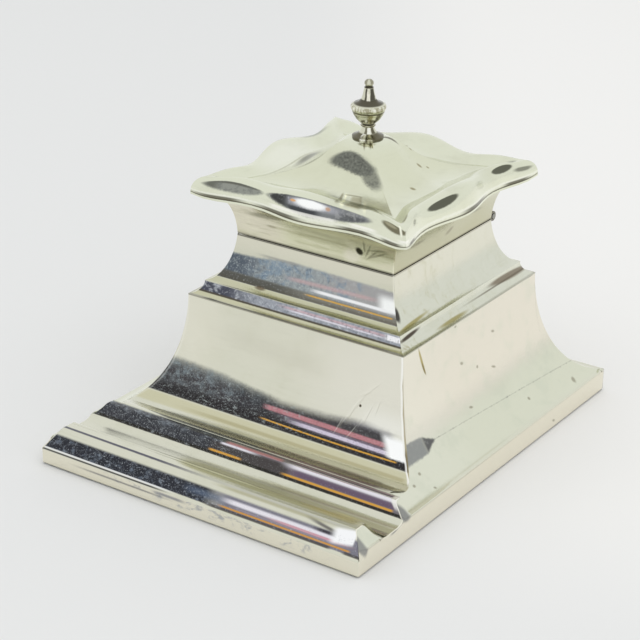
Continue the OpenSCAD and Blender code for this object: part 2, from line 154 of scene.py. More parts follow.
def cover(piece, finish):
    piece.data.materials.clear()
    piece.data.materials.append(finish.material)


bpy.ops.mesh.primitive_plane_add(size=5)
floor = bpy.context.object
floor.name = "floor"
paper = Finish("paper", (0.8, 0.8, 0.8, 1), 0.0, 0.9)
paper.put("Specular IOR Level", 0.1)
# The paper is painted lighter off to the right as painted light, and it is lighter in what is polished
paper.lay((paper.x * 0.829 + paper.y * 0.559).up(-37.66, 72.34)
          * (paper.y * 0.829 - paper.x * 0.559).up(-141.35, -41.35), 242.2, 241, 239.8)
paper.put("Emission Color", (1, 1, 1, 1))
paper.drive("Emission Strength", paper.node("LightPath", {}, {}, "Is Glossy Ray") * 0.16)
cover(floor, paper)
floor.select_set(False)

world = bpy.data.worlds.new("studio")
world.use_nodes = True
scene.world = world
sky = Wires(world.node_tree)
seen = sky.node("LightPath", {}, {}, "Is Camera Ray")
for ray in ("Is Glossy Ray", "Is Transmission Ray"):
    seen = sky.sum("MAXIMUM", seen, sky.node("LightPath", {}, {}, ray))
background = sky.tree.nodes["Background"]
background.inputs["Color"].default_value = (0.985, 1.0, 0.995, 1)
sky.tree.links.new((seen * 0.14 + 0.82).socket, background.inputs["Strength"])


def soft_lamp(name, place, aim, size, power):
    lamp = bpy.data.lights.new(name, "AREA")
    lamp.size, lamp.energy = size, power
    holder = bpy.data.objects.new(name, lamp)
    scene.collection.objects.link(holder)
    holder.location = place
    holder.visible_glossy = False
    holder.rotation_euler = (Vector(aim) - Vector(place)).to_track_quat("-Z", "Y").to_euler()


soft_lamp("key", (0.6, 0.0, 1.5), (0, 0, 0.03), 1.7, 6.0)
soft_lamp("fill", (-0.8, -1.0, 0.9), (0, 0, 0.04), 1.3, 2.0)

# A long lens, looking down 24 degrees from 34 degrees right of the front
turn, dip, roll = (math.radians(a) for a in (34.102, 24.028, 0.8))
ahead = Vector((-math.sin(turn) * math.cos(dip), math.cos(turn) * math.cos(dip), -math.sin(dip)))
across = Vector((math.cos(turn), math.sin(turn), 0))
upward = across.cross(ahead)
tilted_across = math.cos(roll) * across + math.sin(roll) * upward
tilted_up = math.cos(roll) * upward - math.sin(roll) * across
lens = bpy.data.cameras.new("camera")
lens.sensor_width = 36
lens.lens = 1998.58 / 640 * lens.sensor_width
camera = bpy.data.objects.new("camera", lens)
scene.collection.objects.link(camera)
stand = Matrix((tilted_across, tilted_up, -ahead)).transposed().to_4x4()
stand.translation = Vector((0.27183, -0.42282 + axis_y / 1000, 0.25052))
camera.matrix_world = stand
scene.camera = camera


# A piece's material, the body it moves with and the CAD nodes it stands for
def dress(piece, finish, body, *nodes):
    cover(piece, finish)
    bpy.ops.object.select_all(action="DESELECT")
    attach(piece, body)
    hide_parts(*nodes)


def millimetres(piece):
    piece.data.transform(Matrix.Scale(0.001, 4) @ Matrix.Translation((0, axis_y, 0)))
    piece.data.update()


def modify(piece, kind, **settings):
    made = piece.modifiers.new(kind.lower(), kind)
    for key, value in settings.items():
        setattr(made, key, value)
    bpy.ops.object.modifier_apply(modifier=made.name)


baize_in, baize_t = 1.1, 1.0
foot_front, foot_back, foot_half = 77.3915, 50.0, 50.0
bpy.ops.mesh.primitive_grid_add(x_subdivisions=24, y_subdivisions=30, size=1,
                                location=(0, (foot_back - foot_front) / 2, 0.5 * baize_t))
baize = bpy.context.object
baize.name = "baize_sheet"
baize.scale = (2 * (foot_half - baize_in), foot_back + foot_front - 2 * baize_in, 1)
bpy.ops.object.transform_apply(location=True, rotation=True, scale=True)
modify(baize, "SOLIDIFY", thickness=baize_t * 0.98, offset=0)
modify(baize, "BEVEL", width=0.25, segments=2)
millimetres(baize)
baize_green = Finish("baize_green", tone(38, 74, 52), 0.0, 0.95)
nap_grain = baize_green.grain(9.0, 2.0, 0.6)
baize_green.lay(baize_green.grain(2.2, 4.0, 0.7).up(0.35, 0.7), 52, 92, 66)
baize_green.lay(nap_grain.up(0.55, 0.8) * 0.5, 70, 108, 82)
baize_green.emboss(nap_grain, 0.0003)
baize_green.put("Sheen Weight", 0.3)
dress(baize, baize_green, "case", "base_baize")

# ---- base board ----
# A thin mahogany board closes the foot and holds the filling in. It is sawn
# And planed, stained brown, and pinned inside the silver.
board_wood = Finish("board_wood", tone(96, 58, 36), 0.0, 0.55)
pores = board_wood.grain(3.0, 2.0, 0.6, stretch=(0.06, 1, 1))
fibre = board_wood.grain(0.5, 5.0, 0.6, 0.6, stretch=(0.12, 1, 1))
board_wood.lay(fibre.up(0.35, 0.65), 120, 74, 46)
board_wood.lay(pores.up(0.6, 0.75) * 0.7, 62, 36, 24)
board_wood.emboss(pores, 0.0001)
cover(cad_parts["base_board"], board_wood)

# ---- filling ----
# Plaster and pitch run in behind the thin silver to back and weight it. It has
# Set matt and a little pitted, and shows only round the glass well.
plaster = Finish("plaster", tone(92, 88, 80), 0.0, 0.9)
lumps = plaster.grain(0.8, 5.0, 0.65)
plaster.lay(lumps.up(0.4, 0.65), 112, 108, 98)
plaster.emboss(lumps, 0.0006)
cover(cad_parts["loading_fill"], plaster)

# ---- front panel ----
# One sheet of sterling silver, drawn through a swage into a deep hollow with two
# Ridges and a pen groove below it, then soldered to the side walls along its ends.
sheet_t, corner_r = 0.9, 0.45
# Points on the round of a corner: at its middle, near its end, and how far in that one is
near, close, sink = 0.293 * corner_r, 0.617 * corner_r, 0.076 * corner_r
# How far out the case's step is, and the heights of the step, the plinth and the tray's ridges
step_out, step_z, plinth_z, tray_z = 34.3, 37.6, 6.6, 10.0
# The sheets end this far above the baize's underside
foot_z = 0.5


def hollow(x0, z0, x1, z1, lean, steps=30):
    points = []
    for i in range(steps + 1):
        a = math.pi / 2 * i / steps
        points.append((x0 + lean * math.sin(a) + (x1 - x0 - lean) * (1 - math.cos(a)),
                       z0 - (z0 - z1) * math.sin(a)))
    return points


def round_bend(cx, cz, r, a0, a1, steps=10):
    angles = [math.radians(a0 + (a1 - a0) * i / steps) for i in range(steps + 1)]
    return [(cx + r * math.sin(a), cz + r * math.cos(a)) for a in angles]


def apart(line, least):
    kept = [line[0]]
    for point in line[1:]:
        if math.dist(point, kept[-1]) > least:
            kept.append(point)
    return kept


# How far out the side walls stand at height z, behind and in front of the fold
def wall_out(z, top, out, lean, spread):
    s = min(max((top - z) / (top - plinth_z), 0), 1)
    return out + lean * s + spread * (1 - math.sqrt(1 - s * s))


def side_out(z):
    return wall_out(z, step_z, step_out, 0.4, 15.3)


def end_out(z):
    return wall_out(z, tray_z, 46.2, 2.5, 1.3)


# The front's profile from the step to the foot, as (distance forward, height)
fold, bend_r, bend_z, groove_r, groove_z = 53.58, 1.2, 8.8, 5, 10.7
# Each ridge is a round at its place, and the groove's rounds begin this far from them
ridge_1, ridge_2, bend_apart = 54.4, 70.2034, 5.9017
touch = math.degrees(math.atan2(bend_apart, groove_z - bend_z))
face_lean = 51
slope = math.radians(face_lean)
front_line = apart(
    hollow(step_out, step_z, 47.8, 8.7, 0.4)
    + [(47.8 + 5.8 * i / 8, 8.7 + 1.3 * (1 - math.cos(math.pi * i / 8)) / 2) for i in range(1, 8)]
    + [(fold, tray_z), (fold + 0.02, tray_z)]
    + round_bend(ridge_1, bend_z, bend_r, 0, touch)
    + round_bend(ridge_1 + bend_apart, groove_z, groove_r, 180 + touch, 180)
    + round_bend(ridge_2 - bend_apart, groove_z, groove_r, 180, 180 - touch)
    + round_bend(ridge_2, bend_z, bend_r, -touch, 0)
    + round_bend(ridge_2 + 2, bend_z, bend_r, 0, face_lean)
    + [(foot_front - 0.3 * math.cos(slope), 4.3 + 0.3 * math.sin(slope)), (foot_front - 0.06, 4.28),
       (foot_front, 4.05), (foot_front, foot_z)], 0.015)


def facing(line, k):
    a, b = line[max(k - 1, 0)], line[min(k + 1, len(line) - 1)]
    span = math.dist(a, b)
    return ((a[1] - b[1]) / span, (b[0] - a[0]) / span)


def out_at(reach, z):
    return side_out(z) if reach < fold + 0.01 else end_out(z)


# Where the front's edge meets a side wall, eased in by the solder and the polishing
def corner(line, k, out):
    reach, z = line[k]
    fy, fz = facing(line, k)
    step = 0.05
    sx, sz = 2 * step, out(reach, z - step) - out(reach, z + step)
    length = math.hypot(sx, sz)
    sx, sz = sx / length, sz / length
    ease = near * (1 - fz * sz)
    return out(reach, z) - ease * sx, reach - ease * fy, z - ease * (fz + sz)


def edit_vertices(pick):
    bpy.ops.object.mode_set(mode="EDIT")
    bpy.ops.mesh.select_mode(type="VERT")
    bpy.ops.mesh.select_all(action=pick)


def face_outward():
    bpy.ops.mesh.select_all(action="SELECT")
    bpy.ops.mesh.normals_make_consistent(inside=False)
    bpy.ops.object.mode_set(mode="OBJECT")


def smooth(degrees):
    bpy.ops.object.shade_smooth_by_angle(angle=math.radians(degrees))


# An edge of a thin sheet, pulled down row by row; each row runs left to right
def pull_sheet(name, rows, turned=0, outward=(0, -1, 0.4)):
    bpy.ops.object.select_all(action="DESELECT")
    bpy.ops.mesh.primitive_grid_add(x_subdivisions=len(rows[0]) - 1, y_subdivisions=1, size=2)
    piece = bpy.context.object
    piece.name = name
    edit_vertices("DESELECT")
    mesh = bmesh.from_edit_mesh(piece.data)
    for v in mesh.verts:
        v.select = v.co.y > 0
    bpy.ops.mesh.delete(type="VERT")
    bpy.ops.mesh.select_all(action="SELECT")
    for k, row in enumerate(rows):
        if k:
            bpy.ops.mesh.extrude_region_move(TRANSFORM_OT_translate={"value": (0, 0, -1)})
        mesh = bmesh.from_edit_mesh(piece.data)
        picked = sorted((v for v in mesh.verts if v.select), key=lambda v: v.co.x)
        for v, point in zip(picked, row):
            v.co = point
    bmesh.update_edit_mesh(piece.data)
    face_outward()
    lean = sum((f.normal * f.area for f in piece.data.polygons), Vector())
    if lean.dot(Vector(outward)) < 0:
        piece.data.flip_normals()
    ends = {}
    for row in rows:
        for at, sign in ((0, 1), (-1, -1)):
            ends[tuple(round(c, 3) for c in row[at])] = sign
    total = len(piece.data.vertices)
    modify(piece, "SOLIDIFY", thickness=sheet_t, offset=-1)
    # The inner side's end points are set one by one, where two sheets share a mitre
    points = piece.data.vertices
    for outer, inner in zip(points[:total], points[total:]):
        step = inner.co - outer.co
        if step.y < -0.01 or step.length > 1.8 * sheet_t:
            inner.co = outer.co + Vector((0, sheet_t, 0))
        sign = ends.get(tuple(round(c, 3) for c in outer.co))
        if sign:
            inner.co.x += sign * sheet_t
    piece.data.transform(Matrix.Rotation(math.radians(turned), 4, "Z"))
    smooth(32)
    millimetres(piece)
    return piece


# A sheet's row from end to end: its corner, the round beside it and a few points between
def level_row(line, k, w, corner_point):
    reach, z = line[k]
    fy, fz = facing(line, k)
    half = [corner_point, (w - close, sink * fy - reach, z - sink * fz)]
    half += [(x, -reach, z) for x in (w - corner_r, w * 0.62, w * 0.22)]
    return [(-x, y, z) for x, y, z in half] + half[::-1]


def wall_rows(line, out):
    rows = []
    for k, (reach, z) in enumerate(line):
        cx, cy, cz = corner(line, k, out)
        rows.append(level_row(line, k, out(reach, z), (cx, -cy, cz)))
    return rows


front_case = pull_sheet("front_case", wall_rows(front_line, out_at))


# Polished silver: it takes its tone from what it mirrors, so the bands are laid
# Where the room stood in it, and worn and scratched as deep as a cloth reaches
def silver(name, colour=tone(216, 215, 199), shine=0.17):
    made = Finish(name, colour, 0.92, shine)
    made.fine = made.grain(1.6, 5.0, 0.7)
    made.lay(made.grain(0.09, 4.0, 0.55).up(0.45, 0.75) * 0.35, 200, 200, 178)
    made.lay(made.grain(0.5, 4.0, 0.65, stretch=(0.25, 0.25, 3.0)).up(0.52, 0.72) * 0.12, 180, 180, 160)
    made.drive("Roughness", made.fine * 0.1 + (shine - 0.04))
    made.emboss(made.fine, 0.00003, 0.5)
    return made


# A line given as (x, height) pairs, straight between them
def silver_lining(value, points):
    low, high = points[0][0], points[-1][0]
    least, most = min(p[1] for p in points), max(p[1] for p in points) + 0.001
    stops = [((x - low) / (high - low), ((h - least) / (most - least),) * 3 + (1,)) for x, h in points]
    at = value.wires.node("MapRange", {}, {0: value, 1: low, 2: high})
    return value.wires.node("ValToRGB", {"stops": stops}, {0: at}) * (most - least) + least


# A mark of this size about a place, leaning by degrees; 1 inside, fading out at its edge
def spot(u, v, cu, cv, ru, rv, lean=0.0, soft=0.35):
    c, s = math.cos(math.radians(lean)), math.sin(math.radians(lean))
    du, dv = u - cu, v - cv
    along = (du * c + dv * s) * (1 / ru)
    over = (dv * c - du * s) * (1 / rv)
    return ((along * along + over * over) ** 0.5).down(1 - soft, 1 + soft)


# Spots one after another, each row with its place, sizes, lean, softness, share and colour
def marks(u, v, rows):
    for cu, cv, ru, rv, lean, soft, share, *shade in rows:
        u.wires.lay(spot(u, v, cu, cv, ru, rv, lean, soft) * share, *shade)


# Layers that keep inside one zone, each row with its mask and colour
def coats(zone, rows):
    for mask, *shade in rows:
        zone.wires.lay(zone * mask, *shade)


front = silver("front_silver")
x, y, z = front.xyz
reach = y * -1
wobble = (front.fine - 0.5) * 0.9
upper = reach.down(45.6, 46.2)
edge_far = silver_lining(z, [(6.6, 50), (7.5, 46.9), (9, 44.2), (11, 41.7), (14, 39.4), (18, 37.5),
                             (23, 35.9), (30, 34.65), (37.6, 34.3)])
top_line = silver_lining(x, [(-40, 19.6), (-34, 19.9), (-20, 19.2), (-12, 18.3), (0, 17.4), (14, 17.6),
                             (26, 18.7), (33, 18.2), (37, 15.4)])
steel = front.grain(0.55, 6, 0.72, 0.3, stretch=(0.8, 1, 1))
specks = front.grain(3.4, 2, 0.6)
dark = upper * z.up(10.85, 11.15) * (z + wobble - top_line).down(-1.9, 0.6)
left_part = x.down(-9, 1)
# Painted reflections in the hollow: lighter above the band, and a greyer stripe high up
coats(upper, (
    (z.up(15, 20) * x.up(-8, 26) * 0.7, 228, 225, 214),
    (z.up(15, 20) * x.down(-30, -18) * 0.5, 226, 223, 208),
    ((z + x * 0.06).span(26, 31, 2.5) * x.span(-22, 10, 8) * 0.3, 196, 194, 178)))
# The wide dark band is a painted reflection of the dark room, partly tarnish, with painted streaks of
# pink, lilac and gold in it
coats(dark, (
    (1, 72, 70, 72),
    ((z + wobble - top_line).up(-3.4, -0.6) * left_part * 0.85, 128, 132, 130),
    (steel.up(0.42, 0.66) * z.up(12, 15.5) * x.down(-14, 0) * 0.8, 132, 143, 148),
    (x.span(-15, -3, 3) * z.up(12.5, 13.5) * steel.up(0.3, 0.5) * 0.6, 48, 48, 52),
    (z.down(12.2, 14.2) * 0.75, 40, 38, 38),
    (x.up(2, 12) * z.up(16.4, 17.8) * 0.8, 122, 120, 128)))
streak_z = z + x * 0.004 + (front.fine - 0.5) * 0.2
pink = x.span(-4.5, 33, 1.6, 1.5) * streak_z.span(14.3, 15.35, 0.22)
coats(dark, (
    (pink, 188, 132, 138),
    (x.span(1, 35, 3.5, 1) * streak_z.span(13.85, 14.15, 0.1), 120, 106, 122),
    (x.span(5, 35, 5, 1) * streak_z.span(12.95, 13.75, 0.18), 212, 202, 220),
    (x.span(10, 36, 3.5, 1) * streak_z.span(12.65, 12.8, 0.1) * 0.8, 112, 100, 112)))
gold_z = streak_z + (x - 16) * (x - 16) * -0.0004
front.lay(x.span(-4.5, 37.5, 1.5, 0.6) * gold_z.span(11.85, 12.15, 0.09), 216, 164, 70)
front.lay(upper * x.span(27, 35, 3.5, 1.5) * z.span(17.3, 17.9, 0.3) * 0.5, 120, 118, 124)
flakes = front.grain(1.3, 5, 0.75, 0.8, stretch=(0.6, 1, 1))
coats(dark, (
    (flakes.up(0.54, 0.66) * x.down(4, 16) * 0.7, 164, 172, 172),
    (flakes.down(0.36, 0.44) * x.down(-6, 6) * 0.6, 42, 42, 46),
    (specks.up(0.6, 0.68) * 0.5, 178, 182, 184),
    (specks.down(0.34, 0.4) * 0.6, 28, 26, 28)))
# Painted highlights: above the band's right end, and down its right end by the corner
front.lay(upper * x.up(20, 30) * z.span(17.6, 21.5, 0.6, 3) * 0.6, 240, 239, 232)
bright_left = (z - 12.3) * -0.75 + 35.6
bright = upper * (x - bright_left).up(-2.2, 0.6)
bright = bright * (z + (front.fine - 0.5) * 0.6).span(12.5, 16.9, 0.25, 1)
front.lay(bright * (x - edge_far).down(-0.5, -0.1), 255, 255, 255)

# The foot of the hollow, olive, with a brown-grey band up to the first ridge
front.lay(z.span(9, 10.8, 0.3) * upper * 0.55, 196, 190, 148)
brown_band_grain = front.grain(0.9, 3, 0.6, stretch=(1, 0.22, 1))
foot_zone = reach.up(43.6, 44.4) * reach.down(52.7, 53.2)
front.lay(foot_zone * reach.span(44.2, 45.2, 0.3) * x.span(-24, 42, 10, 1) * 0.6, 168, 160, 120)
front.lay(foot_zone * reach.span(46, 48, 0.5) * x.up(-20, -10) * 0.35, 188, 182, 142)
brown_band = foot_zone * (reach + wobble * 0.5).span(48.2, 52.4, 0.4, 0.5) * x.down(40.5, 43.5)
brown_band = brown_band * (x - (reach - 50) * 1.7).up(-26.5, -19)
coats(brown_band, (
    (0.7, 152, 146, 126),
    (x.up(0, 30) * 0.5, 128, 120, 104),
    (brown_band_grain.up(0.5, 0.6) * 0.5, 176, 170, 150)))

# The first ridge, in painted reflections: dark to the left, with streaks of pink, white and gold and
# painted highlights to the right
ridge = (reach + wobble * 0.3).span(53, 57.2, 0.45, 0.15)
coats(ridge, (
    (x.down(-9, 2), 62, 63, 68),
    (x.up(-9, 2), 118, 112, 116),
    (steel.up(0.46, 0.66) * reach.down(54.8, 56) * x.down(-7, -2) * 0.75, 132, 140, 148),
    (x.span(-10, 14.5, 1.5) * reach.span(55.2, 57, 0.25), 76, 72, 72),
    (x.span(-6, 11.5, 1) * reach.span(53.9, 54.9, 0.2), 190, 138, 142),
    (x.up(12, 14) * reach.span(53.1, 53.7, 0.2) * 0.8, 62, 58, 60)))
ridge_white = (x.span(-7.5, 3, 0.8, 3) * reach.span(54.95, 55.35, 0.14)
               + x.span(14, 46.3, 3.5, 0.4) * reach.span(54.4, 55.5, 0.3))
front.lay(ridge_white, 230, 226, 234)
front.lay(x.span(15, 47, 3, 0.5) * reach.span(55.5, 56.15, 0.12) * 0.85, 104, 86, 108)
front.lay(x.span(15, 46, 3, 1) * reach.span(53.75, 54.15, 0.12) * 0.7, 84, 72, 84)
front.lay(x.span(15, 46, 3, 1) * reach.span(53.3, 53.6, 0.1) * 0.7, 214, 182, 184)
front.lay(x.span(17, 38, 3) * reach.span(54.6, 54.85, 0.12) * 0.7, 176, 140, 150)
coats(ridge, (
    (reach.span(56.62, 57.3, 0.12), 48, 46, 42),
    (flakes.up(0.54, 0.66) * x.down(-8, 2) * 0.65, 158, 164, 168),
    (flakes.down(0.36, 0.44) * x.down(-8, 2) * 0.6, 38, 38, 42)))
front.lay((x.span(-10.5, -0.5, 0.8) + x.span(13, 46, 1.5, 0.6)) * reach.span(56.25, 56.6, 0.1),
          214, 160, 68)
front.lay(ridge * specks.up(0.6, 0.68) * (1 - x.up(0, 10) * 0.6) * 0.6, 186, 190, 192)
# The pen groove, pale, with an olive shade to the right
groove = reach.span(57.9, 69.8, 0.2)
olive = (x + abs(reach - 62.9) * -3).up(-19, -12)
coats(groove, (
    (reach.span(61, 64.6, 0.6, 0.5) * olive * 0.85, 180, 178, 150),
    (reach.span(61.8, 64.2, 0.7) * x.span(33, 40, 2.5) * 0.6, 206, 196, 138),
    (reach.span(59.7, 60.7, 0.5) * x.up(8, 18) * 0.6, 158, 150, 118)))
front.lay(reach.span(65.6, 67.6, 0.5) * (1 - x.up(-10, 10) * 0.75) * 0.5, 158, 160, 158)
olive = (x + abs(reach - 69.8) * -2).up(-13, -8)
front.lay(reach.span(68.2, 71.2, 0.4) * olive * x.down(43, 46) * 0.85, 180, 178, 142)
front.lay(reach.span(68.4, 70.6, 0.5) * x.span(30, 44, 4) * 0.4, 206, 186, 128)

# The second ridge and the foot's front, in painted reflections: dark to the left, paler with streaks and
# a painted highlight to the right, and painted shade along the bottom edge
crest = reach + wobble * 0.2 - (x + 44) * 0.006
front.lay(crest.span(72, 72.7, 0.15) * (1 - x.up(-16, 4) * 0.75), 96, 96, 106)
front.lay(reach.span(73, 73.5, 0.2) * x.span(6, 38, 5) * 0.7, 168, 164, 132)
face = (reach + wobble * 0.15).span(74.25, 76.75, 0.25, 0.12) * z.up(4.6, 5)
coats(face, (
    (x.down(2, 10), 48, 50, 56),
    (x.up(2, 10), 124, 122, 134),
    (steel.up(0.5, 0.68) * x.down(2, 10) * 0.6, 120, 130, 144),
    (x.span(-3, 9, 3) * reach.span(74.8, 75.8, 0.4) * 0.6, 98, 112, 134),
    (x.span(9, 45, 3) * reach.span(74.8, 75.5, 0.22), 232, 228, 236),
    (x.span(24, 44, 5) * reach.span(75.35, 75.75, 0.14), 206, 158, 168),
    (x.span(12, 45, 3) * reach.span(75.75, 76, 0.12), 150, 140, 152)))
front.lay(x.span(34, 43, 3) * (reach + (x - 36) * -0.09).span(73.4, 73.9, 0.2) * 0.8, 70, 66, 70)
front.lay(face * x.span(36, 44, 2) * reach.span(74.3, 74.8, 0.2), 64, 60, 66)
front.lay(x.up(39.5, 42) * (reach + (x - 43) * 0.1).span(73.2, 75.6, 0.35) * x.down(46.5, 47.2),
          250, 250, 252)
front.lay(x.span(8, 46.5, 1.5, 0.6) * reach.span(76.1, 76.38, 0.08), 206, 150, 72)
front.lay(x.up(2, 6) * reach.span(76.45, 76.9, 0.1) * (1 - x.span(41, 45, 0.8)) * 0.85, 70, 66, 64)
front.lay(reach.span(76.7, 76.95, 0.06) * x.down(-12, -4) * 0.9, 232, 232, 232)
front.lay(reach.span(77, 77.25, 0.06) * x.down(-14, -6) * 0.9, 52, 52, 58)
front.lay(face * flakes.up(0.54, 0.66) * x.down(2, 10) * 0.6, 152, 160, 170)
front.lay(face * specks.up(0.6, 0.68) * 0.6, 190, 194, 200)
foot = reach.up(77.28, 77.36)
mottle = front.grain(0.22, 5, 0.65, 0.5, stretch=(1, 1, 1.6))
coats(foot, (
    (0.6, 222, 216, 198),
    (mottle.up(0.5, 0.64) * z.up(1.2, 2.6) * x.span(-26, 40, 8) * 0.75, 150, 154, 160),
    (x.span(-36, -10, 6) * z.span(2.6, 3.1, 0.2) * 0.7, 104, 104, 110),
    (x.span(-12, -3, 2) * z.span(3.3, 4.1, 0.3) * 0.7, 106, 110, 124),
    (z.down(0.4, 0.8) * 0.5, 96, 90, 78)))

# Scratches across the right of the hollow, one spot, and the rub round where a cloth turns
for cx, cz, rx, lean in (
        (20.5, 19.5, 4.2, 62), (22.5, 23, 3.6, 55), (25.5, 20.5, 3.8, 66), (18.2, 15.8, 2.6, 70),
        (22.3, 15.2, 2.2, 60), (26, 27.5, 3, 40), (24, 25.5, 2.4, 28), (28, 23, 2.8, 72)):
    front.lay(spot(x, z, cx, cz, rx, 0.07, lean, 0.6) * 0.5, 238, 236, 226)
    front.lay(spot(x, z, cx + 0.5, cz - 0.4, rx * 0.7, 0.06, lean + 6, 0.6) * 0.45, 160, 154, 134)
front.lay(spot(x, z, 23.2, 21.9, 0.35, 0.35, 0, 0.4), 70, 62, 46)
# The tray's ends, where the sheet's edge shows as a painted highlight
end_edge = silver_lining(z, [(h, end_out(h)) for h in (4.3, 6.6, 7, 7.5, 8, 8.5, 9, 9.5, 10)])
front.lay(reach.up(53.2, 54) * z.up(4.6, 5.2) * (x - end_edge).up(-0.5, -0.25) * 0.85, 240, 236, 222)
front.lay(ridge * (x - end_edge).up(-1.9, -1.1) * reach.down(55.6, 56.4) * 0.85, 240, 238, 232)
# The soldered edges, with a painted highlight along them, stronger on the right, where they are also
# rubbed bright, and a fine dark line where polish has caught
edge_in = edge_far - abs(x)
right_edge = x.up(-1, 1)
front.lay(upper * edge_in.down(0.45, 0.9) * edge_in.up(0.1, 0.25) * (right_edge * 0.7 + 0.2),
          246, 245, 240)
front.lay(upper * edge_in.down(0.06, 0.14) * (right_edge * 0.6 + 0.08), 160, 146, 110)
dress(front_case, front, "case", "front_panel")

# ---- back panel ----
# The back wall is a plain drawn hollow, soldered to the side walls. Nobody looks at
# It on a desk, so it keeps its polish; its tones are painted reflections, lighter above with a grey
# band, an olive one and a dark line under the plinth's edge, with painted shade along the bottom edge.
back_line = (hollow(step_out, step_z, foot_back, plinth_z, 0.4)[:-1]
             + [(49.85, 6.605), (49.96, 6.56), (foot_back, 6.42), (foot_back, foot_z)])


def side_at(reach, z):
    return side_out(z)


back_case = pull_sheet("back_case", wall_rows(back_line, side_at), 180)
back = silver("back_silver")
x, y, z = back.xyz
back.lay(z.up(15, 19) * 0.7, 222, 217, 202)
back.lay((z + (back.fine - 0.5) * 0.9).span(11.2, 15.2, 0.5, 1.4) * 0.62, 128, 130, 132)
back.lay(z.span(7.6, 10.4, 0.6) * 0.4, 196, 190, 156)
back.lay(z.span(6, 6.5, 0.12) * 0.6, 110, 104, 92)
back.lay(z.down(0.55, 1) * 0.6, 70, 64, 56)
dress(back_case, back, "case", "back_panel")

# ---- side panels ----
# Each side is one sheet: the hollow wall with the plinth under it, and in front of the
# Fold the low end of the tray. Its edge follows the front's ridges, where it is soldered.


def wall_column(y, head, out, push=0):
    column = list(head)
    start, steps = head[-1][2], 22
    low = min(plinth_z, start - 0.14 * (start - foot_z))
    top = step_z if out is side_out else tray_z
    height = top - plinth_z
    first = math.asin(min(max((top - start) / height, 0), 1))
    for i in range(1, steps + 1):
        if start > plinth_z + 0.15:
            z = top - height * math.sin(first + (math.pi / 2 - first) * i / steps)
            last = i == steps
            column.append((out(z) - push - 0.15 * last, y, z + 0.005 * last))
        else:
            z = start + (low - start) * i / steps
            column.append((out(z) - push, y, z))
    foot = foot_half - push
    return column + [(foot - 0.04, y, low - 0.045), (foot, y, low - 0.18), (foot, y, foot_z)]


def side_columns():
    tray = [(r, z) for r, z in front_line if r > fold + 0.01 and z > 4.31][::-1]

    def tray_top(at):
        for (r0, z0), (r1, z1) in zip(front_line, front_line[1:]):
            if r0 <= at <= r1 and r1 > r0:
                return z0 + (z1 - z0) * (at - r0) / (r1 - r0)
        return 4.05

    def from_corner(line, k, out):
        cx, cr, cz = corner(line, k, out)
        return [(cx, -cr if line is front_line else cr, cz)]

    # The first columns stand in the round of the foot's front corner
    columns = []
    for back_by, push in ((near, near), (close, sink)):
        y = back_by - foot_front
        top = tray_top(-y)
        head = [(end_out(top) - push, y, top - drop) for drop in (0.02, 0.1, 0.25)]
        columns.append(wall_column(y, head, end_out, push))
    # Then under the tray's edge, from the foot to the fold
    at = foot_front - corner_r
    for reach, z in [(at, tray_top(at))] + [p for p in tray if p[0] < at - corner_r]:
        if reach == at:
            head = [(end_out(z) - 0.1, -reach, z - 0.05)]
        else:
            head = from_corner(front_line, front_line.index((reach, z)), out_at)
        head += [(end_out(z - close) - sink, -reach, z - close),
                 (end_out(z - corner_r), -reach, z - corner_r)]
        columns.append(wall_column(-reach, head, end_out))
    # Behind the fold, first below the front's edge and then beside it
    for k in range(len(front_line) - 1, -1, -1):
        reach, z = front_line[k]
        if 47.85 < reach < fold + 0.01:
            head = from_corner(front_line, k, out_at) + [
                (side_out(z - close) - sink, -reach, z - close),
                (side_out(z - corner_r), -reach, z - corner_r)]
            columns.append(wall_column(-reach, head, side_out))
        elif reach < 47.85:
            head = from_corner(front_line, k, out_at) + [
                (side_out(z) - sink, close - reach, z), (side_out(z), corner_r - reach, z)]
            columns.append(wall_column(corner_r - reach, head, side_out))
    for y in (-26, -9, 9, 26):
        head = [(step_out, y, step_z), (side_out(37.5), y, 37.5), (side_out(37.3), y, 37.3)]
        columns.append(wall_column(y, head, side_out))
    for k, (reach, z) in enumerate(back_line[:-4]):
        head = from_corner(back_line, k, side_at) + [
            (side_out(z) - sink, reach - close, z), (side_out(z), reach - corner_r, z)]
        columns.append(wall_column(reach - corner_r, head, side_out))
    for in_by, push in ((close, sink), (near, near)):
        y = foot_back - in_by
        head = [(x - push, y, z) for x, z in ((49.85, 6.6), (49.9, 6.58), (49.95, 6.56))]
        columns.append(wall_column(y, head, end_out, push))
    return columns


walls = side_columns()
rows_right = [[(c[j][1], -c[j][0], c[j][2]) for c in walls] for j in range(len(walls[0]))]
rows_left = [[(-y, x, z) for y, x, z in row][::-1] for row in rows_right]
right_case = pull_sheet("right_case", rows_right, 90)
left_case = pull_sheet("left_case", rows_left, 270)


def side_silver(name):
    flank = silver(name)
    x, y, z = flank.xyz
    drift = flank.grain(0.14, 3, 0.6, shift=(7, 3, 1))
    sway, plinth = z + y * -0.03 + (drift - 0.5) * 5, z.down(6.3, 6.9)
    # Painted reflections: the wall lighter above and towards the front, greener below and blotched, with
    # a dark line under the plinth's top edge, the plinth lighter, and painted shade along the bottom
    # edge
    flank.lay(sway.up(13.5, 18.5) * 0.85, 226, 220, 206)
    flank.lay(sway.down(12.5, 17.5) * (1 - plinth) * 0.75, 219, 221, 202)
    flank.lay((1 - plinth) * y.down(-36, -6) * 0.3, 230, 230, 218)
    flank.lay(drift.up(0.5, 0.68) * (1 - plinth) * 0.35, 206, 210, 192)
    flank.lay(z.span(6.05, 6.35, 0.1) * (1 - y.up(-30, 10) * 0.5) * 0.4, 140, 132, 112)
    flank.lay(z.down(5.9, 6.3) * 0.6, 228, 221, 204)
    flank.lay(z.down(0.4, 0.8) * 0.4, 112, 104, 92)
    return flank


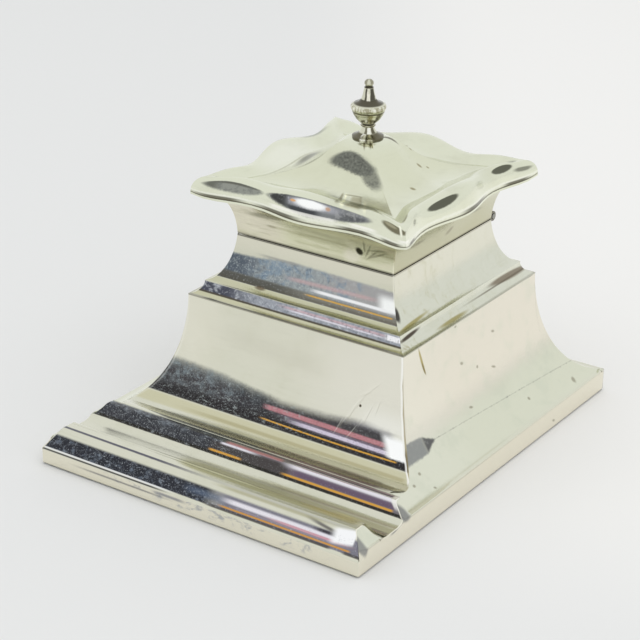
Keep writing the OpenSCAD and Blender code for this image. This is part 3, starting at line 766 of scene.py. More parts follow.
flank = side_silver("right_silver")
x, y, z = flank.xyz
patch_half = silver_lining(
    y, [(-50, 2.6), (-36, 2.3), (-32.5, 2.1), (-31.8, 1.9), (-27.5, 0.2), (-26, 0)])
patch_grain = flank.grain(0.8, 4, 0.7)
# A dark grey patch across the front of the wall is a painted reflection, with lighter flecks
patch = (patch_half - abs(z - 14.2 + (y + 40) * 0.05) + (patch_grain - 0.5) * 0.8).up(-0.25, 0.5)
coats(patch, (
    (y.down(-32.9, -31.4) * 0.9, 136, 138, 138),
    (y.up(-32.9, -31.4) * 0.95, 88, 88, 90),
    (patch_grain.up(0.52, 0.66) * 0.4, 164, 166, 162)))
# Grey painted reflections beside the tray's ridge ends, then two yellow-brown streaks high up
marks(y, z, (
    (-56.2, 7.7, 2.3, 1.7, -35, 0.35, 0.85, 124, 125, 126),
    (-60.4, 5.9, 2.6, 0.5, 12, 0.4, 0.8, 136, 136, 132),
    (-74.5, 7.2, 1.2, 2.4, 0, 0.35, 0.8, 128, 129, 130),
    (-25.8, 33.6, 3.9, 0.42, -70, 0.35, 1, 176, 164, 112),
    (-25, 31.2, 2, 0.35, -68, 0.35, 1, 140, 128, 84)))
for cy, cz, ry, rz, lean in (
        (10, 29, 0.8, 0.35, -20), (-7, 26, 0.7, 0.4, -20), (0, 22.6, 0.45, 0.4, 0),
        (7.5, 20, 0.95, 0.3, -20), (-8, 14.7, 0.8, 0.3, -15), (-39.5, 9.7, 0.5, 0.3, 0),
        (-44, 8.6, 0.5, 0.25, 0), (-39, 6.95, 0.4, 0.12, 0), (16, 9, 0.5, 0.3, 0),
        (37, 7.3, 0.9, 0.3, 15), (-9, 37, 0.5, 0.3, 0), (20, 2.4, 0.8, 0.35, -25)):
    flank.lay(spot(y, z, cy, cz, ry, rz, lean, 0.5) * 0.75, 150, 146, 126)
dress(right_case, flank, "case", "right_panel")
flank = side_silver("left_silver")
x, y, z = flank.xyz
# A painted reflection: a grey band across the front part of the wall
flank.lay(z.span(12.4, 16.4, 0.4, 0.9) * y.down(-34, -20) * 0.8, 120, 121, 124)
flank.lay(z.span(9.2, 11.2, 0.6) * 0.35, 190, 184, 150)
dress(left_case, flank, "case", "left_panel")

# ---- neck ----
# Four walls with two stacked hollows, mitred at 45 degrees and soldered, stand on the
# Case. A small level step shows where each hollow was struck against the next.
seam_out, neck_top, waist_out = 24.8, 54.4, 31.1
neck_line = (hollow(seam_out, neck_top, waist_out, 41.5, 1)[:-1]
             + [(30.98, 41.505), (31.07, 41.47), (waist_out, 41.38), (waist_out, 41.2)]
             + hollow(waist_out, 41.2, step_out, 37.9, 0.4, 16)[1:-1]
             + [(34.18, 37.905), (34.27, 37.87), (step_out, 37.78), (step_out, step_z)])
turns = {"front": 0, "right": 90, "back": 180, "left": 270}


# Four walls alike, each with both ends mitred
def four_walls(name, line, outward):
    rows = []
    for k, (reach, z) in enumerate(line):
        fy, fz = facing(line, k)
        ease = near * (1 - fz * fz)
        out = reach - ease * fy
        rows.append(level_row(line, k, reach, (out, -out, z - 2 * ease * fz)))
    return {side: pull_sheet(f"{name}_{side}_wall", rows, turned, outward)
            for side, turned in turns.items()}


neck_pieces = four_walls("neck", neck_line, (0, -1, 0.4))
neck = silver("neck_front_silver", tone(208, 207, 190))
x, y, z = neck.xyz
band_top = silver_lining(x, [(-26, 49.3), (-22, 49.4), (-17, 49.6), (-12, 50.4), (-6, 50.9), (6, 50.6),
                             (18, 50.4), (26, 50.2)])
# The neck's tones are painted reflections of the room, like the case's: a lighter top, a wide band dark
# blue-grey at the left and paler at the right, a lower band like it, pink, white and gold streaks, and
# painted highlights at the right corner; the dark line at the top is painted shade in the seam under the
# lid
neck.lay(z.up(49.5, 53.5) * 0.5, 218, 214, 198)
neck.lay(z.span(54, 54.4, 0.1) * 0.8, 76, 72, 64)
band = z.up(42.6, 42.85) * (z + (neck.fine - 0.5) * 0.8 - band_top).down(-0.8, 0.25)
blue = neck.grain(0.28, 5, 0.65, 0.6)
fleck_noise = neck.grain(1, 5, 0.75, 0.5)
coats(band, (
    (1, 152, 158, 160),
    (x.down(-23, -10), 88, 96, 106),
    (x.up(0, 10) * 0.75, 166, 163, 162),
    (blue.up(0.46, 0.62) * x.span(-18, 16, 4) * 0.7, 122, 142, 160),
    (blue.down(0.36, 0.48) * x.down(-8, 4) * 0.35, 86, 96, 108),
    (fleck_noise.up(0.5, 0.64) * x.down(8, 18) * 0.55, 176, 184, 184),
    (fleck_noise.down(0.38, 0.46) * x.down(4, 14) * 0.45, 78, 88, 100)))
neck.lay(z.span(50.1, 50.7, 0.3) * x.span(-16, -4, 3) * 0.7, 150, 150, 146)
coats(band, (
    (x.span(-6, 20, 3) * (z - x * 0.02).span(46.2, 47.1, 0.4) * 0.7, 196, 168, 168),
    ((x - (z - 45) * -0.25).up(20.6, 24) * z.up(44.6, 45.4) * z.down(47.2, 49.6), 246, 247, 246),
    (x.span(2, 25, 3) * z.span(44.9, 45.6, 0.2), 240, 240, 242),
    (z.down(44, 44.8) * 0.85, 124, 120, 108),
    (z.down(44, 44.8) * x.down(-12, 4) * 0.8, 80, 80, 76),
    (z.down(42.9, 43.6) * 0.5, 84, 80, 68)))
neck.lay(x.span(0, 26.5, 1.5, 0.5) * (z + (neck.fine - 0.5) * 0.25).span(43.75, 44.1, 0.1), 206, 164, 86)
neck.lay(z.span(41.5, 42.6, 0.15) * 0.5, 190, 188, 148)
neck.lay(spot(x, z, -14.2, 42.55, 1.6, 0.35, 0, 0.5) * 0.8, 96, 78, 58)
low_band = z.span(38.8, 41.4, 0.12)
coats(low_band, (
    (1, 156, 160, 168),
    (x.down(-24, -13), 74, 76, 88),
    (blue.up(0.5, 0.62) * x.down(4, 12) * 0.7, 186, 190, 196),
    (x.span(-5, 27, 3) * z.span(40.2, 40.8, 0.2) * 0.8, 206, 178, 184),
    (x.span(-3, 26, 3) * z.span(39.8, 40.15, 0.14) * 0.8, 232, 226, 236),
    (x.up(26, 28) * z.span(39.7, 41, 0.25), 244, 243, 246),
    (fleck_noise.down(0.38, 0.48) * 0.5, 92, 96, 106),
    (fleck_noise.up(0.54, 0.66) * 0.5, 214, 216, 222)))
neck.lay((z + (neck.fine - 0.5) * 0.2).span(38.7, 39.1, 0.12), 84, 78, 68)
neck.lay(z.span(38, 38.7, 0.15) * 0.5, 196, 192, 150)
neck.lay(z.span(37.6, 38, 0.1) * 0.65, 120, 116, 104)
neck_specks = neck.grain(2.6, 2, 0.5)
neck.lay(band * neck_specks.up(0.62, 0.7) * 0.45, 206, 210, 212)
neck.lay((x + y).up(-0.5, -0.2) * z.up(44, 50) * 0.6, 236, 234, 218)
dress(neck_pieces["front"], neck, "case", "neck_front")

neck = silver("neck_right_silver", tone(215, 216, 202))
x, y, z = neck.xyz
# Painted shade in the seam under the lid, and a lighter top
neck.lay(z.span(54, 54.4, 0.1) * 0.8, 96, 90, 72)
neck.lay(z.up(46, 50) * 0.5, 222, 218, 202)
dirt = neck.grain(0.3, 5, 0.65, 0.4, stretch=(1, 1, 0.6), shift=(2, 5, 0))
neck.lay(dirt.up(0.5, 0.66) * (1 - y.up(-12, 16) * 0.6) * 0.4, 194, 192, 164)
neck.lay(dirt.up(0.6, 0.68) * y.down(-20, -8) * 0.4, 164, 158, 128)
# The first two dark marks, by the front corner, are painted reflections that run round from the front
marks(y, z, (
    (-26.9, 44.9, 1.1, 1.7, -12, 0.35, 1, 76, 74, 70),
    (-27, 40.3, 4.6, 0.5, 4, 0.4, 1, 84, 76, 66),
    (-23, 41.95, 7, 0.28, 2, 0.5, 1, 168, 160, 112),
    (-8, 38.3, 6.5, 0.3, 0, 0.5, 1, 164, 156, 110),
    (23.5, 39.8, 10, 0.85, -2, 0.3, 0.85, 120, 106, 88)))
neck.lay(z.span(39.15, 39.5, 0.1) * y.up(-6, 14) * 0.7, 104, 94, 78)
neck.lay(z.span(37.6, 37.95, 0.1) * 0.5, 120, 116, 100)
dress(neck_pieces["right"], neck, "case", "neck_right")
neck = silver("neck_far_silver", tone(214, 213, 197))
x, y, z = neck.xyz
# Painted shade in the seam under the lid, and two grey bands that are painted reflections
neck.lay(z.span(54, 54.4, 0.1) * 0.8, 96, 90, 72)
neck.lay((z + (neck.fine - 0.5) * 0.8).span(43.4, 46.6, 0.3, 1.2) * 0.6, 140, 142, 142)
neck.lay(z.span(39.2, 40.6, 0.15, 0.4) * 0.6, 132, 130, 124)
neck.lay(z.span(37.6, 37.95, 0.1) * 0.5, 120, 116, 100)
for side in ("back", "left"):
    dress(neck_pieces[side], neck, "case", "neck_" + side)

# ---- deck, collar and felt ----
# A flat plate closes the neck, with a ring soldered on it that keeps the glass in
# Place, and a disc of green felt at the foot of its bore takes the glass's weight.
deck = silver("deck_silver", tone(196, 192, 172), 0.24)
ring_far = ((deck.x * deck.x) + (deck.y * deck.y)) ** 0.5
deck.lay(ring_far.span(18.2, 19.6, 0.5) * 0.6, 96, 88, 78)
ink_stains = deck.grain(0.35, 4, 0.6)
deck.lay(ink_stains.up(0.56, 0.62) * ring_far.up(18, 19) * 0.6, 70, 72, 92)
cover(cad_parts["well_deck"], deck)
cover(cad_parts["well_collar"], silver("collar_silver", tone(210, 207, 190), 0.2))

felt_top, felt_t, felt_r = 22.1, 2, 15
bpy.ops.object.select_all(action="DESELECT")
bpy.ops.mesh.primitive_cylinder_add(vertices=96, radius=felt_r * 0.985, depth=felt_t,
                                    location=(0, 0, felt_top - felt_t / 2), end_fill_type="NGON")
felt_disc = bpy.context.object
felt_disc.name = "felt_disc"
bpy.ops.object.transform_apply(location=True, rotation=True, scale=True)
bpy.ops.object.mode_set(mode="EDIT")
bpy.ops.mesh.select_mode(type="FACE")
for rim_step in (1.2, 3, 4, 4):
    bpy.ops.mesh.select_all(action="DESELECT")
    shape = bmesh.from_edit_mesh(felt_disc.data)
    for face in shape.faces:
        face.select = len(face.verts) > 4
    bmesh.update_edit_mesh(felt_disc.data)
    bpy.ops.mesh.inset(thickness=rim_step * 0.9, depth=0)
bpy.ops.object.mode_set(mode="OBJECT")
modify(felt_disc, "BEVEL", width=0.3, segments=3, limit_method="ANGLE")
smooth(50)
millimetres(felt_disc)
felt = Finish("green_felt", tone(44, 78, 58), 0, 0.95)
felt_fibre = felt.grain(2.5, 5, 0.75, 1)
felt.lay(felt_fibre.up(0.4, 0.7), 62, 100, 76)
felt.emboss(felt_fibre, 0.0004)
felt.put("Sheen Weight", 0.3)
dress(felt_disc, felt, "case", "well_pad")

# ---- ink well ----
# A blown and moulded glass well, round, with a flange that hangs in the collar. Its
# Lip is ground and fire polished, and dry ink has left a faint stain in its bottom.


def turn_piece(name, line, steps=96):
    bpy.ops.object.select_all(action="DESELECT")
    bpy.ops.mesh.primitive_plane_add(size=2)
    piece = bpy.context.object
    piece.name = name
    edit_vertices("DESELECT")
    mesh = bmesh.from_edit_mesh(piece.data)
    mesh.verts.ensure_lookup_table()
    for v in mesh.verts[1:]:
        v.select = True
    bpy.ops.mesh.delete(type="VERT")
    bpy.ops.mesh.select_all(action="SELECT")
    for k, (r, z) in enumerate(line):
        if k:
            bpy.ops.mesh.extrude_region_move(TRANSFORM_OT_translate={"value": (0, 0, 1)})
        mesh = bmesh.from_edit_mesh(piece.data)
        for v in mesh.verts:
            if v.select:
                v.co = (r, 0, z)
    bmesh.update_edit_mesh(piece.data)
    bpy.ops.mesh.select_all(action="SELECT")
    bpy.ops.mesh.spin(steps=steps, angle=2 * math.pi, center=(0, 0, 0), axis=(0, 0, 1))
    bpy.ops.mesh.select_all(action="SELECT")
    bpy.ops.mesh.remove_doubles(threshold=0.0008)
    face_outward()
    return piece


glass_foot, glass_r, flange_r, flange_z, bore_r, bore_z = 22.4, 15, 17, 54.4, 12.8, 27.9
lip_r, lip_z = 0.7, 56.2
glass_line = (
    [(0, glass_foot), (4, glass_foot), (glass_r - 1.4, glass_foot)]
    + round_bend(glass_r - 1.2, glass_foot + 1.2, 1.2, 180, 90, 6)[1:]
    + [(glass_r, 30), (glass_r, 45), (glass_r, flange_z - 0.1), (glass_r + 0.1, flange_z),
       (flange_r - 0.2, flange_z), (flange_r, flange_z + 0.2), (flange_r, lip_z)]
    + round_bend(flange_r - lip_r, lip_z, lip_r, 90, 0, 5)[1:]
    + round_bend(bore_r + lip_r, lip_z, lip_r, 0, -90, 5)
    + [(bore_r, 50), (bore_r, 38), (bore_r, bore_z + 0.1)]
    + round_bend(bore_r - 2.4, bore_z, 2.4, 90, 180, 6)[1:]
    + [(5, 25.5), (0, 25.45)])
inkwell = turn_piece("ink_well", apart(glass_line, 0.01))
smooth(40)
millimetres(inkwell)
clear = Finish("well_glass", tone(232, 242, 240), 0, 0.03)
clear.put("Transmission Weight", 1)
clear.put("IOR", 1.5)
stain = (clear.z + clear.grain(0.2, 3, 0.5) * 6).down(29, 34) * clear.z.up(25, 25.6)
clear.lay(stain * 0.6, 96, 104, 140)
clear.drive("Roughness", stain * 0.3 + 0.02)
dress(inkwell, clear, "well", "ink_glass")

# ---- hinge ----
# Two leaves of sheet with rolled knuckles, soldered to the back of the neck and of
# The lid's skirt, and a drawn steel wire for a pin. The knuckles have gone dull.


def softened_copy(node):
    bpy.ops.object.select_all(action="DESELECT")
    piece = bpy.data.objects.new(node + "_dressed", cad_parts[node].data.copy())
    scene.collection.objects.link(piece)
    bpy.context.view_layer.objects.active = piece
    piece.select_set(True)
    edit_vertices("SELECT")
    bpy.ops.mesh.remove_doubles(threshold=0.00001)
    bpy.ops.mesh.dissolve_limited(angle_limit=math.radians(1))
    bpy.ops.object.mode_set(mode="OBJECT")
    modify(piece, "BEVEL", width=0.12 / 1000, segments=2, limit_method="ANGLE",
           angle_limit=math.radians(40))
    smooth(35)
    return piece


hinge = silver("hinge_silver", tone(190, 186, 166), 0.26)
hinge.lay(hinge.grain(0.8, 4, 0.6).up(0.5, 0.62) * 0.7, 110, 102, 88)
hinge.lay(hinge.z.span(53, 56.1, 0.5) * 0.35, 96, 90, 80)
hinge.lay(hinge.x.up(22.5, 24) * 0.7, 84, 80, 72)
for node, body in (("hinge_neck_leaf", "case"), ("hinge_lid_leaf", "lid")):
    dress(softened_copy(node), hinge, body, node)
cover(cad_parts["hinge_pin"], silver("pin_steel", tone(120, 120, 124), 0.3))

# ---- lid skirt ----
# Four hollow walls, mitred and soldered like the neck's, spread up from the seam to
# The soffit under the lid's rim. The front one has a dent beside its right end, shown only by painted
# shade.
skirt_low, skirt_top, skirt_out = 54.7, 64.9, 28.8
skirt_line = hollow(seam_out, -skirt_low, skirt_out, -skirt_top, 0.4, 24)
skirt_line = [(r, -z) for r, z in skirt_line][::-1]
skirt_pieces = four_walls("skirt", skirt_line, (0, -1, -0.2))
skirt = silver("skirt_front_silver", tone(212, 212, 184))
x, y, z = skirt.xyz
# The skirt's tones are painted reflections: lighter at the top, olive in the middle and a painted
# highlight at the left end, with painted shade along its foot at the seam
skirt.lay(z.up(60.5, 63.5) * 0.45, 232, 232, 206)
skirt.lay(z.span(56.4, 59.6, 0.6) * x.up(-12, -2) * 0.3, 190, 190, 154)
skirt.lay(x.down(-14, -6) * 0.8, 214, 208, 190)
streaks = skirt.grain(0.55, 4, 0.65, stretch=(0.16, 0.16, 1.5))
skirt.lay(streaks.up(0.5, 0.64) * 0.45, 168, 166, 136)
skirt.lay(streaks.down(0.36, 0.46) * 0.4, 226, 224, 200)
skirt.lay(z.down(54.85, 55.25) * 0.75, 110, 108, 92)
skirt.lay(z.span(55.5, 56.4, 0.3) * 0.35, 210, 208, 182)
# Grey and olive marks across the skirt, the dark one high up a painted shadow under the rim, and two
# painted highlights beside the dent
marks(x, z, (
    (-14.2, 62, 5.6, 0.75, 4, 0.5, 0.85, 150, 148, 128),
    (-9, 63.9, 6.2, 0.4, -6, 0.5, 0.8, 104, 102, 92),
    (-4, 59.4, 10.5, 0.35, 1, 0.5, 0.4, 168, 166, 132),
    (-13, 59.2, 1.5, 0.4, 0, 0.5, 0.6, 150, 146, 122),
    (12.2, 57.2, 2.6, 1.9, 20, 0.45, 0.8, 222, 218, 200),
    (12.2, 60, 2.4, 1, -30, 0.5, 0.7, 222, 220, 196)))
# Painted dark streaks and a painted highlight round the dent, and painted shade in the dent itself
for cx, cz, rx, lean in ((17.2, 59.4, 2.1, 62), (18.4, 58.6, 2.3, 42), (20.2, 58.9, 3.2, 26),
                         (16.2, 60.6, 1.8, 88), (20.4, 60.3, 3, 10)):
    skirt.lay(spot(x, z, cx, cz, rx, 0.3, lean, 0.5) * 0.6, 126, 124, 98)
skirt.lay(spot(x, z, 22.6, 56.4, 2.6, 0.8, 8, 0.5) * 0.6, 214, 210, 186)
dent_shade = spot(x, z, 14.5, 58.8, 1.15, 0.95, -40, 0.35)
skirt.lay(dent_shade, 52, 50, 36)
# A painted highlight down the right corner
skirt.lay((x + y).up(-0.55, -0.25) * 0.6, 238, 235, 214)
dress(skirt_pieces["front"], skirt, "lid", "skirt_front")
skirt = silver("skirt_right_silver", tone(190, 188, 160))
x, y, z = skirt.xyz
# Painted shade along its foot, at the seam
skirt.lay(z.down(54.85, 55.25) * 0.75, 112, 106, 82)
marks(y, z, (
    (7, 61.2, 9, 0.7, -6, 0.5, 0.8, 126, 122, 104),
    (-15.5, 60.2, 3.8, 0.5, 0, 0.5, 0.7, 140, 136, 112),
    (1.5, 58.5, 1.8, 0.6, 20, 0.5, 0.6, 140, 132, 110)))
for side in ("right", "back", "left"):
    dress(skirt_pieces[side], skirt, "lid", "skirt_" + side)

# ---- lid ----
# One sheet of silver, raised over a stake into a tented crown and then chased up into
# A waved lip, with a boss in the middle of each side and the corners drawn out to tips.
rim_half, rim_corner, crown_z, eave_z, rim_z = 30.5, 33.5, 79.7, 68.6, 65.5
hole_r, lid_t, side_steps = 1.45, 0.6, 56


def smooth_step(v):
    v = min(max(v, 0), 1)
    return v * v * (3 - 2 * v)


def lid_plan(u, r):
    bulge = 1.3
    out = rim_half + bulge * math.cos(2 * math.pi * u) + (rim_corner - rim_half - bulge) * u ** 6
    x, y = rim_corner * u * r, -out * r
    far = math.hypot(x, y)
    f = smooth_step(r / 0.72)
    rx, ry = x / far * rim_half * r, y / far * rim_half * r
    return rx + (x - rx) * f, ry + (y - ry) * f


def lid_height(u, r):
    slope_part = eave_z + (crown_z - eave_z) / (1 + (max(r - 0.125, 0) / 0.24) ** 2.6)
    start = 0.52 + 0.247 * (2 * u) ** 2
    over = min(max((r - start) / (0.9 - start), 0), 1)
    swell = 0.45 * smooth_step(over) + 0.55 * math.sin(math.pi / 2 * over) ** 1.4
    boss = 1.7 * (1 + math.cos(2 * math.pi * u)) / 2 * swell if abs(u) < 0.5 else 0
    lobe = 0.6 * (1 - math.cos(4 * math.pi * u)) / 2 if abs(u) > 0.5 else 0
    h = slope_part + boss + (lobe + 1.9) * smooth_step((r - 0.7) / 0.2)
    over = min(max((r - 0.92) / 0.08, 0), 1)
    edge = rim_z + 1.5 * abs(u) ** 10
    return h - (h - edge) * (1 - math.sqrt(1 - over * over))


# From -1 to 1 along a side, closer together towards the corners
def rim_u(i):
    return (-1 + 2 * i / side_steps) * 0.65 - math.cos(math.pi * i / side_steps) * 0.35


def lid_ring(r):
    points = []
    for c, s in ((1, 0), (0, 1), (-1, 0), (0, -1)):
        for i in range(side_steps):
            u = rim_u(i)
            x, y = lid_plan(u, r)
            points.append((x * c - y * s, x * s + y * c, lid_height(u, r)))
    return points


rings_at = ([hole_r / rim_half, 0.075, 0.105, 0.125] + [0.125 + 0.025 * i for i in range(1, 24)]
            + [0.7 + 0.0125 * i for i in range(1, 18)]
            + [0.92 + 0.08 * math.sin(math.pi / 2 * i / 12) for i in range(1, 13)])
rings_at = sorted(set(round(r, 5) for r in rings_at))
bpy.ops.object.select_all(action="DESELECT")
bpy.ops.mesh.primitive_circle_add(vertices=4 * side_steps, radius=1, fill_type="NOTHING")
lid_shell = bpy.context.object
lid_shell.name = "lid_shell"
edit_vertices("SELECT")
laid = None
shell = bmesh.from_edit_mesh(lid_shell.data)
for name in ("round_at", "out_at"):
    shell.verts.layers.float.new(name)
for r in rings_at:
    ring = lid_ring(r)
    if laid is not None:
        bpy.ops.mesh.extrude_region_move(TRANSFORM_OT_translate={"value": (0, 0, 0)})
    shell = bmesh.from_edit_mesh(lid_shell.data)
    round_layer, out_layer = (shell.verts.layers.float[name] for name in ("round_at", "out_at"))
    if laid is None:
        shell.verts.ensure_lookup_table()
        picked = list(shell.verts)
    else:
        at = {key: i for i, key in enumerate(laid)}
        picked = [None] * len(ring)
        for v in shell.verts:
            if v.select:
                picked[at[tuple(round(c, 3) for c in v.co)]] = v
    for i, (v, point) in enumerate(zip(picked, ring)):
        v.co, v[out_layer] = point, r
        v[round_layer] = (i // side_steps + (rim_u(i % side_steps) + 1) / 2) / 4
    laid = [tuple(round(c, 3) for c in v.co) for v in picked]
bmesh.update_edit_mesh(lid_shell.data)
face_outward()
if sum(p.normal.z * p.area for p in lid_shell.data.polygons) < 0:
    lid_shell.data.flip_normals()
# A map that follows the rim: round the four sides from 0 to 1, and from the crown out
round_map = lid_shell.data.uv_layers.new(name="round_map")
round_layer, out_layer = (lid_shell.data.attributes[name].data for name in ("round_at", "out_at"))
for face in lid_shell.data.polygons:
    spots = [(round_layer[v].value, out_layer[v].value) for v in face.vertices]
    wraps = max(a for a, r in spots) - min(a for a, r in spots) > 0.5
    for loop, (a, r) in zip(face.loop_indices, spots):
        round_map.data[loop].uv = (a + 1 if wraps and a < 0.5 else a, r)
for name in ("round_at", "out_at"):
    lid_shell.data.attributes.remove(lid_shell.data.attributes[name])
modify(lid_shell, "SOLIDIFY", thickness=lid_t, offset=-1)
smooth(60)
millimetres(lid_shell)

lid = silver("lid_silver", tone(222, 224, 204), 0.15)
x, y, z = lid.xyz
map_place = lid.node("UVMap", {"uv_map": "round_map"}, {})
map_round, map_out = lid.node("SeparateXYZ", {}, {0: map_place}, None)[:2]
# It runs from -1 to 1 along the front, on to 3 along the right side, and so round
along = map_round * 8 - 1
out = map_out + (lid.fine - 0.5) * 0.004
lid.lay(out.up(0.16, 0.3) * out.down(0.5, 0.7) * 0.3, 210, 210, 180)
# Mirrored in the crown: a dark shape across the front, and the finial's foot
crown_dark = lid.sum("MAXIMUM", spot(x, y + lid.fine, 1.8, -9.2, 7.2, 1.9, -2, 0.2),
                     spot(x, y + lid.fine, 8.2, -10.6, 5, 1.7, -30, 0.4) * 0.8)
coats(crown_dark, (
    (0.92, 98, 100, 94),
    (lid.fine.up(0.5, 0.62) * 0.6, 70, 72, 70),
    (lid.fine.down(0.36, 0.46) * 0.5, 150, 152, 144)))
# Painted shade on the left hip and in the crease at the foot of the left pillow, a painted highlight on
# that pillow, and painted reflections by the back left corner and beside the finial's foot
lid.lay(spot(x, y, -11.6, -10.9, 3.8, 0.7, 42, 0.6) * 0.8, 122, 122, 106)
lid.lay(spot(x, y, -18.3, -1.2, 1.4, 6.2, 8, 0.6) * x.up(-20.2, -19.2) * 0.9, 118, 118, 102)
lid.lay(spot(x, y, -24, -4, 3.6, 10, 0, 0.6) * 0.5, 242, 242, 234)
lid.lay((x + lid.fine).span(-19.9, -19.2, 0.2) * y.span(-18, 6, 4) * 0.5, 166, 164, 136)
lid.lay(spot(x, y, -27.2, 14.5, 1, 5, 0, 0.6) * 0.8, 132, 136, 124)
lid.lay(spot(x, y, 4.6, 3.1, 2.3, 0.6, 34, 0.4) * 0.9, 84, 78, 58)
for aside, *shade in ((-0.9, 120, 112, 84), (-0.1, 238, 237, 216), (0.7, 112, 104, 76),
                      (1.4, 236, 234, 212)):
    lid.lay(spot(x, y, 2.9 + 0.83 * aside, -4.5 + 0.56 * aside, 1.5, 0.28, -56, 0.5) * 0.8, *shade)
# A painted reflection of a window, low on the right of the front slope
lid.lay(along.span(0.36, 0.5, 0.02) * out.span(0.62, 0.93, 0.02) * 0.75, 172, 168, 138)
leaning = along - (out - 0.8) * 0.18
lid.lay(leaning.span(0.295, 0.325, 0.01) * out.span(0.6, 0.94, 0.02), 246, 246, 216)
lid.lay(leaning.span(0.25, 0.28, 0.01) * out.span(0.6, 0.92, 0.03) * 0.8, 150, 146, 116)
lid.lay(along.span(0.53, 0.56, 0.01) * out.span(0.66, 0.94, 0.03), 240, 240, 214)
lid.lay(along.span(0.27, 0.5, 0.03) * out.span(0.6, 0.615, 0.008) * 0.7, 136, 130, 100)
# The lip's own reflections, long dark lenses that follow the wave
lens_grain = lid.grain(0.9, 4, 0.65)
lens = spot(along, out, 0.128, 0.9755, 0.475, 0.0205, 0, 0.12)
coats(lens, (
    (1, 126, 128, 130),
    (along.up(0.25, 0.4) * out.up(0.974, 0.98), 96, 98, 100),
    (lens_grain.up(0.5, 0.62) * along.up(0.1, 0.3) * 0.5, 170, 170, 170),
    (along.span(-0.16, 0.3, 0.06, 0.1) * out.span(0.964, 0.984, 0.006), 176, 176, 184),
    (along.down(-0.2, -0.04) * lens_grain.up(0.34, 0.5), 64, 65, 64),
    (along.span(-0.12, 0.16, 0.05) * out.up(0.984, 0.989), 70, 72, 76)))
marks(along, out, (
    (0.085, 0.9725, 0.14, 0.0125, 0, 0.35, 1, 255, 255, 255),
    (-0.075, 0.974, 0.028, 0.0035, 0, 0.5, 1, 222, 172, 122),
    (0.235, 0.974, 0.02, 0.006, 0, 0.5, 0.8, 196, 152, 118)))
lens = spot(along, out, -0.67, 0.976, 0.25, 0.0165, 0, 0.16)
coats(lens, (
    (1, 148, 150, 142),
    (out.down(0.9665, 0.973) * 0.9, 96, 96, 88),
    (along.down(-0.86, -0.76) * 0.85, 100, 101, 92),
    (lens_grain.up(0.5, 0.62) * 0.6, 118, 120, 116)))
lid.lay(spot(along, out, 0.88, 0.966, 0.14, 0.017, 0, 0.2), 118, 114, 92)
lid.lay(spot(along, out, 0.84, 0.962, 0.07, 0.008, 0, 0.35) * 0.8, 168, 164, 138)
lid.lay(along.span(0.94, 0.965, 0.01) * out.span(0.93, 0.985, 0.008), 246, 246, 228)
marks(along, out, (
    (1.71, 0.9645, 0.175, 0.0175, 0, 0.14, 1, 96, 97, 84),
    (2.67, 0.956, 0.115, 0.021, 0, 0.14, 1, 98, 99, 86),
    (2.92, 0.88, 0.10, 0.022, -22, 0.4, 0.8, 124, 126, 112),
    (2.87, 0.981, 0.09, 0.007, 0, 0.4, 0.8, 110, 110, 98)))
for at, wide in ((4.05, 0.34), (4.75, 0.16), (5.9, 0.3), (6.6, 0.16), (3.2, 0.14)):
    lid.lay(spot(along, out, at, 0.968, wide, 0.015, 0, 0.2), 112, 114, 106)
# The rolled edge: a painted highlight along it, with the dark of the soffit mirrored under it in places
lid.lay(out.span(0.9972, 0.9992, 0.0006) * 0.45, 244, 244, 236)
lid.lay(map_out.up(0.99955, 0.9998) * 0.85, 92, 88, 70)
for left, right, soft in ((-0.95, -0.6, 0.1), (-0.42, -0.02, 0.12), (0.34, 0.6, 0.08),
                          (0.74, 0.93, 0.05), (1.1, 1.24, 0.04), (1.95, 2.32, 0.1),
                          (2.66, 2.9, 0.06)):
    lid.lay(along.span(left, right, soft) * map_out.up(0.9982, 0.9992) * 0.85, 84, 80, 66)
for left, right in ((0.42, 0.66), (0.92, 1.08), (-0.3, 0.3)):
    lid.lay(along.span(left, right, 0.05) * map_out.span(0.9935, 0.997, 0.001) * 0.7, 252, 250, 244)
lid.lay(spot(along, out, 1.27, 0.974, 0.035, 0.008, 0, 0.5) * 0.75, 136, 138, 122)
# Small brown spots where the lacquer of polish has stayed
for cx, cy, rad in ((17.5, -5, 0.75), (12.3, 6.4, 0.7), (8.2, 8.2, 0.4), (13.6, 8.6, 0.4),
                    (-2, 22.5, 0.5), (-14, 12, 0.5)):
    lid.lay(spot(x, y, cx, cy, rad, rad * 0.7, 10, 0.5) * 0.8, 140, 130, 92)
dress(lid_shell, lid, "lid", "lid_top")
cover(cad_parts["lid_soffit"], lid)

# ---- finial ----
# A turned silver urn on a waisted foot. Its screw passes through the crown of the lid
# And is held below by a washer and a small brass nut.
urn = [(4.2, 0), (4.22, 0.02), (4.2, 0.034), (3.6, 0.05), (2.62, 0.075), (2.05, 0.12),
       (1.75, 0.165), (1.6, 0.19), (1.95, 0.205), (2.03, 0.215), (1.95, 0.225), (1.6, 0.24),
       (2.3, 0.27), (3.25, 0.33), (4.05, 0.41), (4.3, 0.45), (4.3, 0.465), (4.55, 0.49),
       (4.71, 0.51), (4.75, 0.53), (4.71, 0.55), (4.55, 0.57), (4, 0.59), (2.6, 0.62),
       (1.95, 0.67), (1.6, 0.75), (1.3, 0.84), (1.2, 0.87), (0.95, 0.875), (0.95, 0.89),
       (1.15, 0.905), (1.25, 0.935), (1.2, 0.955), (1.1, 0.97), (0.7, 0.993), (0, 1)]
screw_r, screw_end, urn_h = 1.2, 75.3, 15.9
finial_line = ([(0, screw_end), (screw_r, screw_end), (screw_r, crown_z)]
               + [(r, crown_z + urn_h * t) for r, t in urn])
urn_finial = turn_piece("urn_finial", finial_line, 80)
smooth(38)
millimetres(urn_finial)
finial = silver("finial_silver", tone(212, 211, 192), 0.14)
x, y, z = finial.xyz
reflection_noise = finial.grain(0.6, 4, 0.6)
beads = finial.grain(1.2, 2, 0.5, stretch=(1, 1, 0.7))
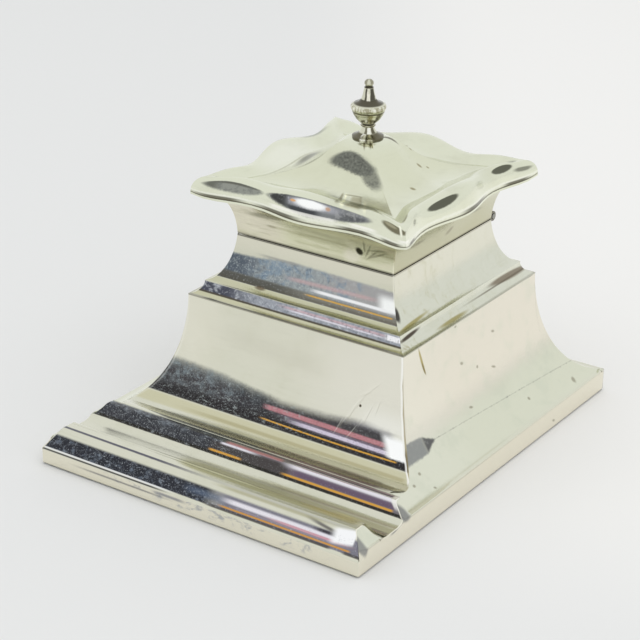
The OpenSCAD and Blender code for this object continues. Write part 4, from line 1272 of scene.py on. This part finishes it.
# How far round to the right of the side that faces forward and right, from -1 to 1
round_by = (x * 0.829 + y * 0.559) / ((x * x + y * y) ** 0.5 + 0.01) + (reflection_noise - 0.5) * 0.3
# The finial's tones are painted reflections set by how far round they face: light and dark stripes,
# painted highlights on the side that faces forward and right and on the beads, and painted shade in the
# recess under the spire
foot = z.down(81, 81.4)
coats(foot, (
    (0.92, 84, 78, 58),
    (round_by.span(-0.55, -0.2, 0.06) * 0.9, 244, 243, 232),
    (round_by.span(-0.05, 0.3, 0.06) * 0.8, 206, 203, 178)))
stem = z.span(81.2, 82.7, 0.1)
coats(stem, (
    (round_by.span(-0.45, -0.12, 0.06) * 0.85, 92, 86, 64),
    (round_by.span(-0.12, 0.35, 0.06) * 0.9, 246, 245, 236),
    (round_by.span(0.42, 0.8, 0.08) * 0.9, 78, 72, 52)))
finial.lay(z.span(82.75, 83.3, 0.1) * (1 - round_by.span(-0.4, 0.2, 0.1) * 0.7) * 0.85, 110, 100, 66)
finial.lay(z.span(83.4, 83.9, 0.12) * 0.9, 74, 66, 46)
bowl = z.span(84, 86.9, 0.2)
coats(bowl, (
    (round_by.span(-0.05, 0.25, 0.08) * 0.8, 150, 142, 96),
    (round_by.span(0.25, 0.45, 0.06) * 0.7, 238, 236, 212),
    (round_by.span(0.5, 0.82, 0.08) * 0.85, 92, 86, 64),
    (round_by.down(-0.86, -0.7) * 0.8, 116, 110, 90)))
finial.lay(z.span(86.8, 87.25, 0.12) * 0.9, 86, 80, 58)
finial.lay(z.span(87.5, 88.9, 0.15) * beads.up(0.46, 0.56) * 0.75, 152, 146, 118)
finial.lay(z.span(87.5, 88.9, 0.15) * beads.down(0.36, 0.44) * 0.6, 242, 241, 230)
finial.lay(z.span(89.1, 90.3, 0.12) * 0.92, 66, 60, 46)
spire = z.span(90.2, 93.3, 0.2)
coats(spire, (
    (round_by.span(-0.62, -0.3, 0.07) * 0.92, 60, 56, 44),
    (round_by.span(-0.3, 0.2, 0.06) * reflection_noise.up(0.36, 0.56) * 0.9, 244, 240, 226),
    (round_by.span(0.2, 0.9, 0.08) * 0.92, 56, 52, 42)))
finial.lay(z.span(93.35, 94.1, 0.12) * 0.92, 62, 56, 40)
finial.lay(z.up(94.2, 94.5) * (1 - round_by.span(-0.4, 0.3, 0.12)) * 0.7, 120, 114, 92)
dress(urn_finial, finial, "lid", "finial")
cover(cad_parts["finial_washer"], silver("washer_silver", tone(188, 184, 164), 0.25))
nut_brass = Finish("nut_brass", tone(178, 142, 74), 0.95, 0.3)
nut_brass.lay(nut_brass.grain(0.9, 4, 0.6).up(0.45, 0.62) * 0.7, 112, 86, 46)
cover(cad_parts["finial_nut"], nut_brass)
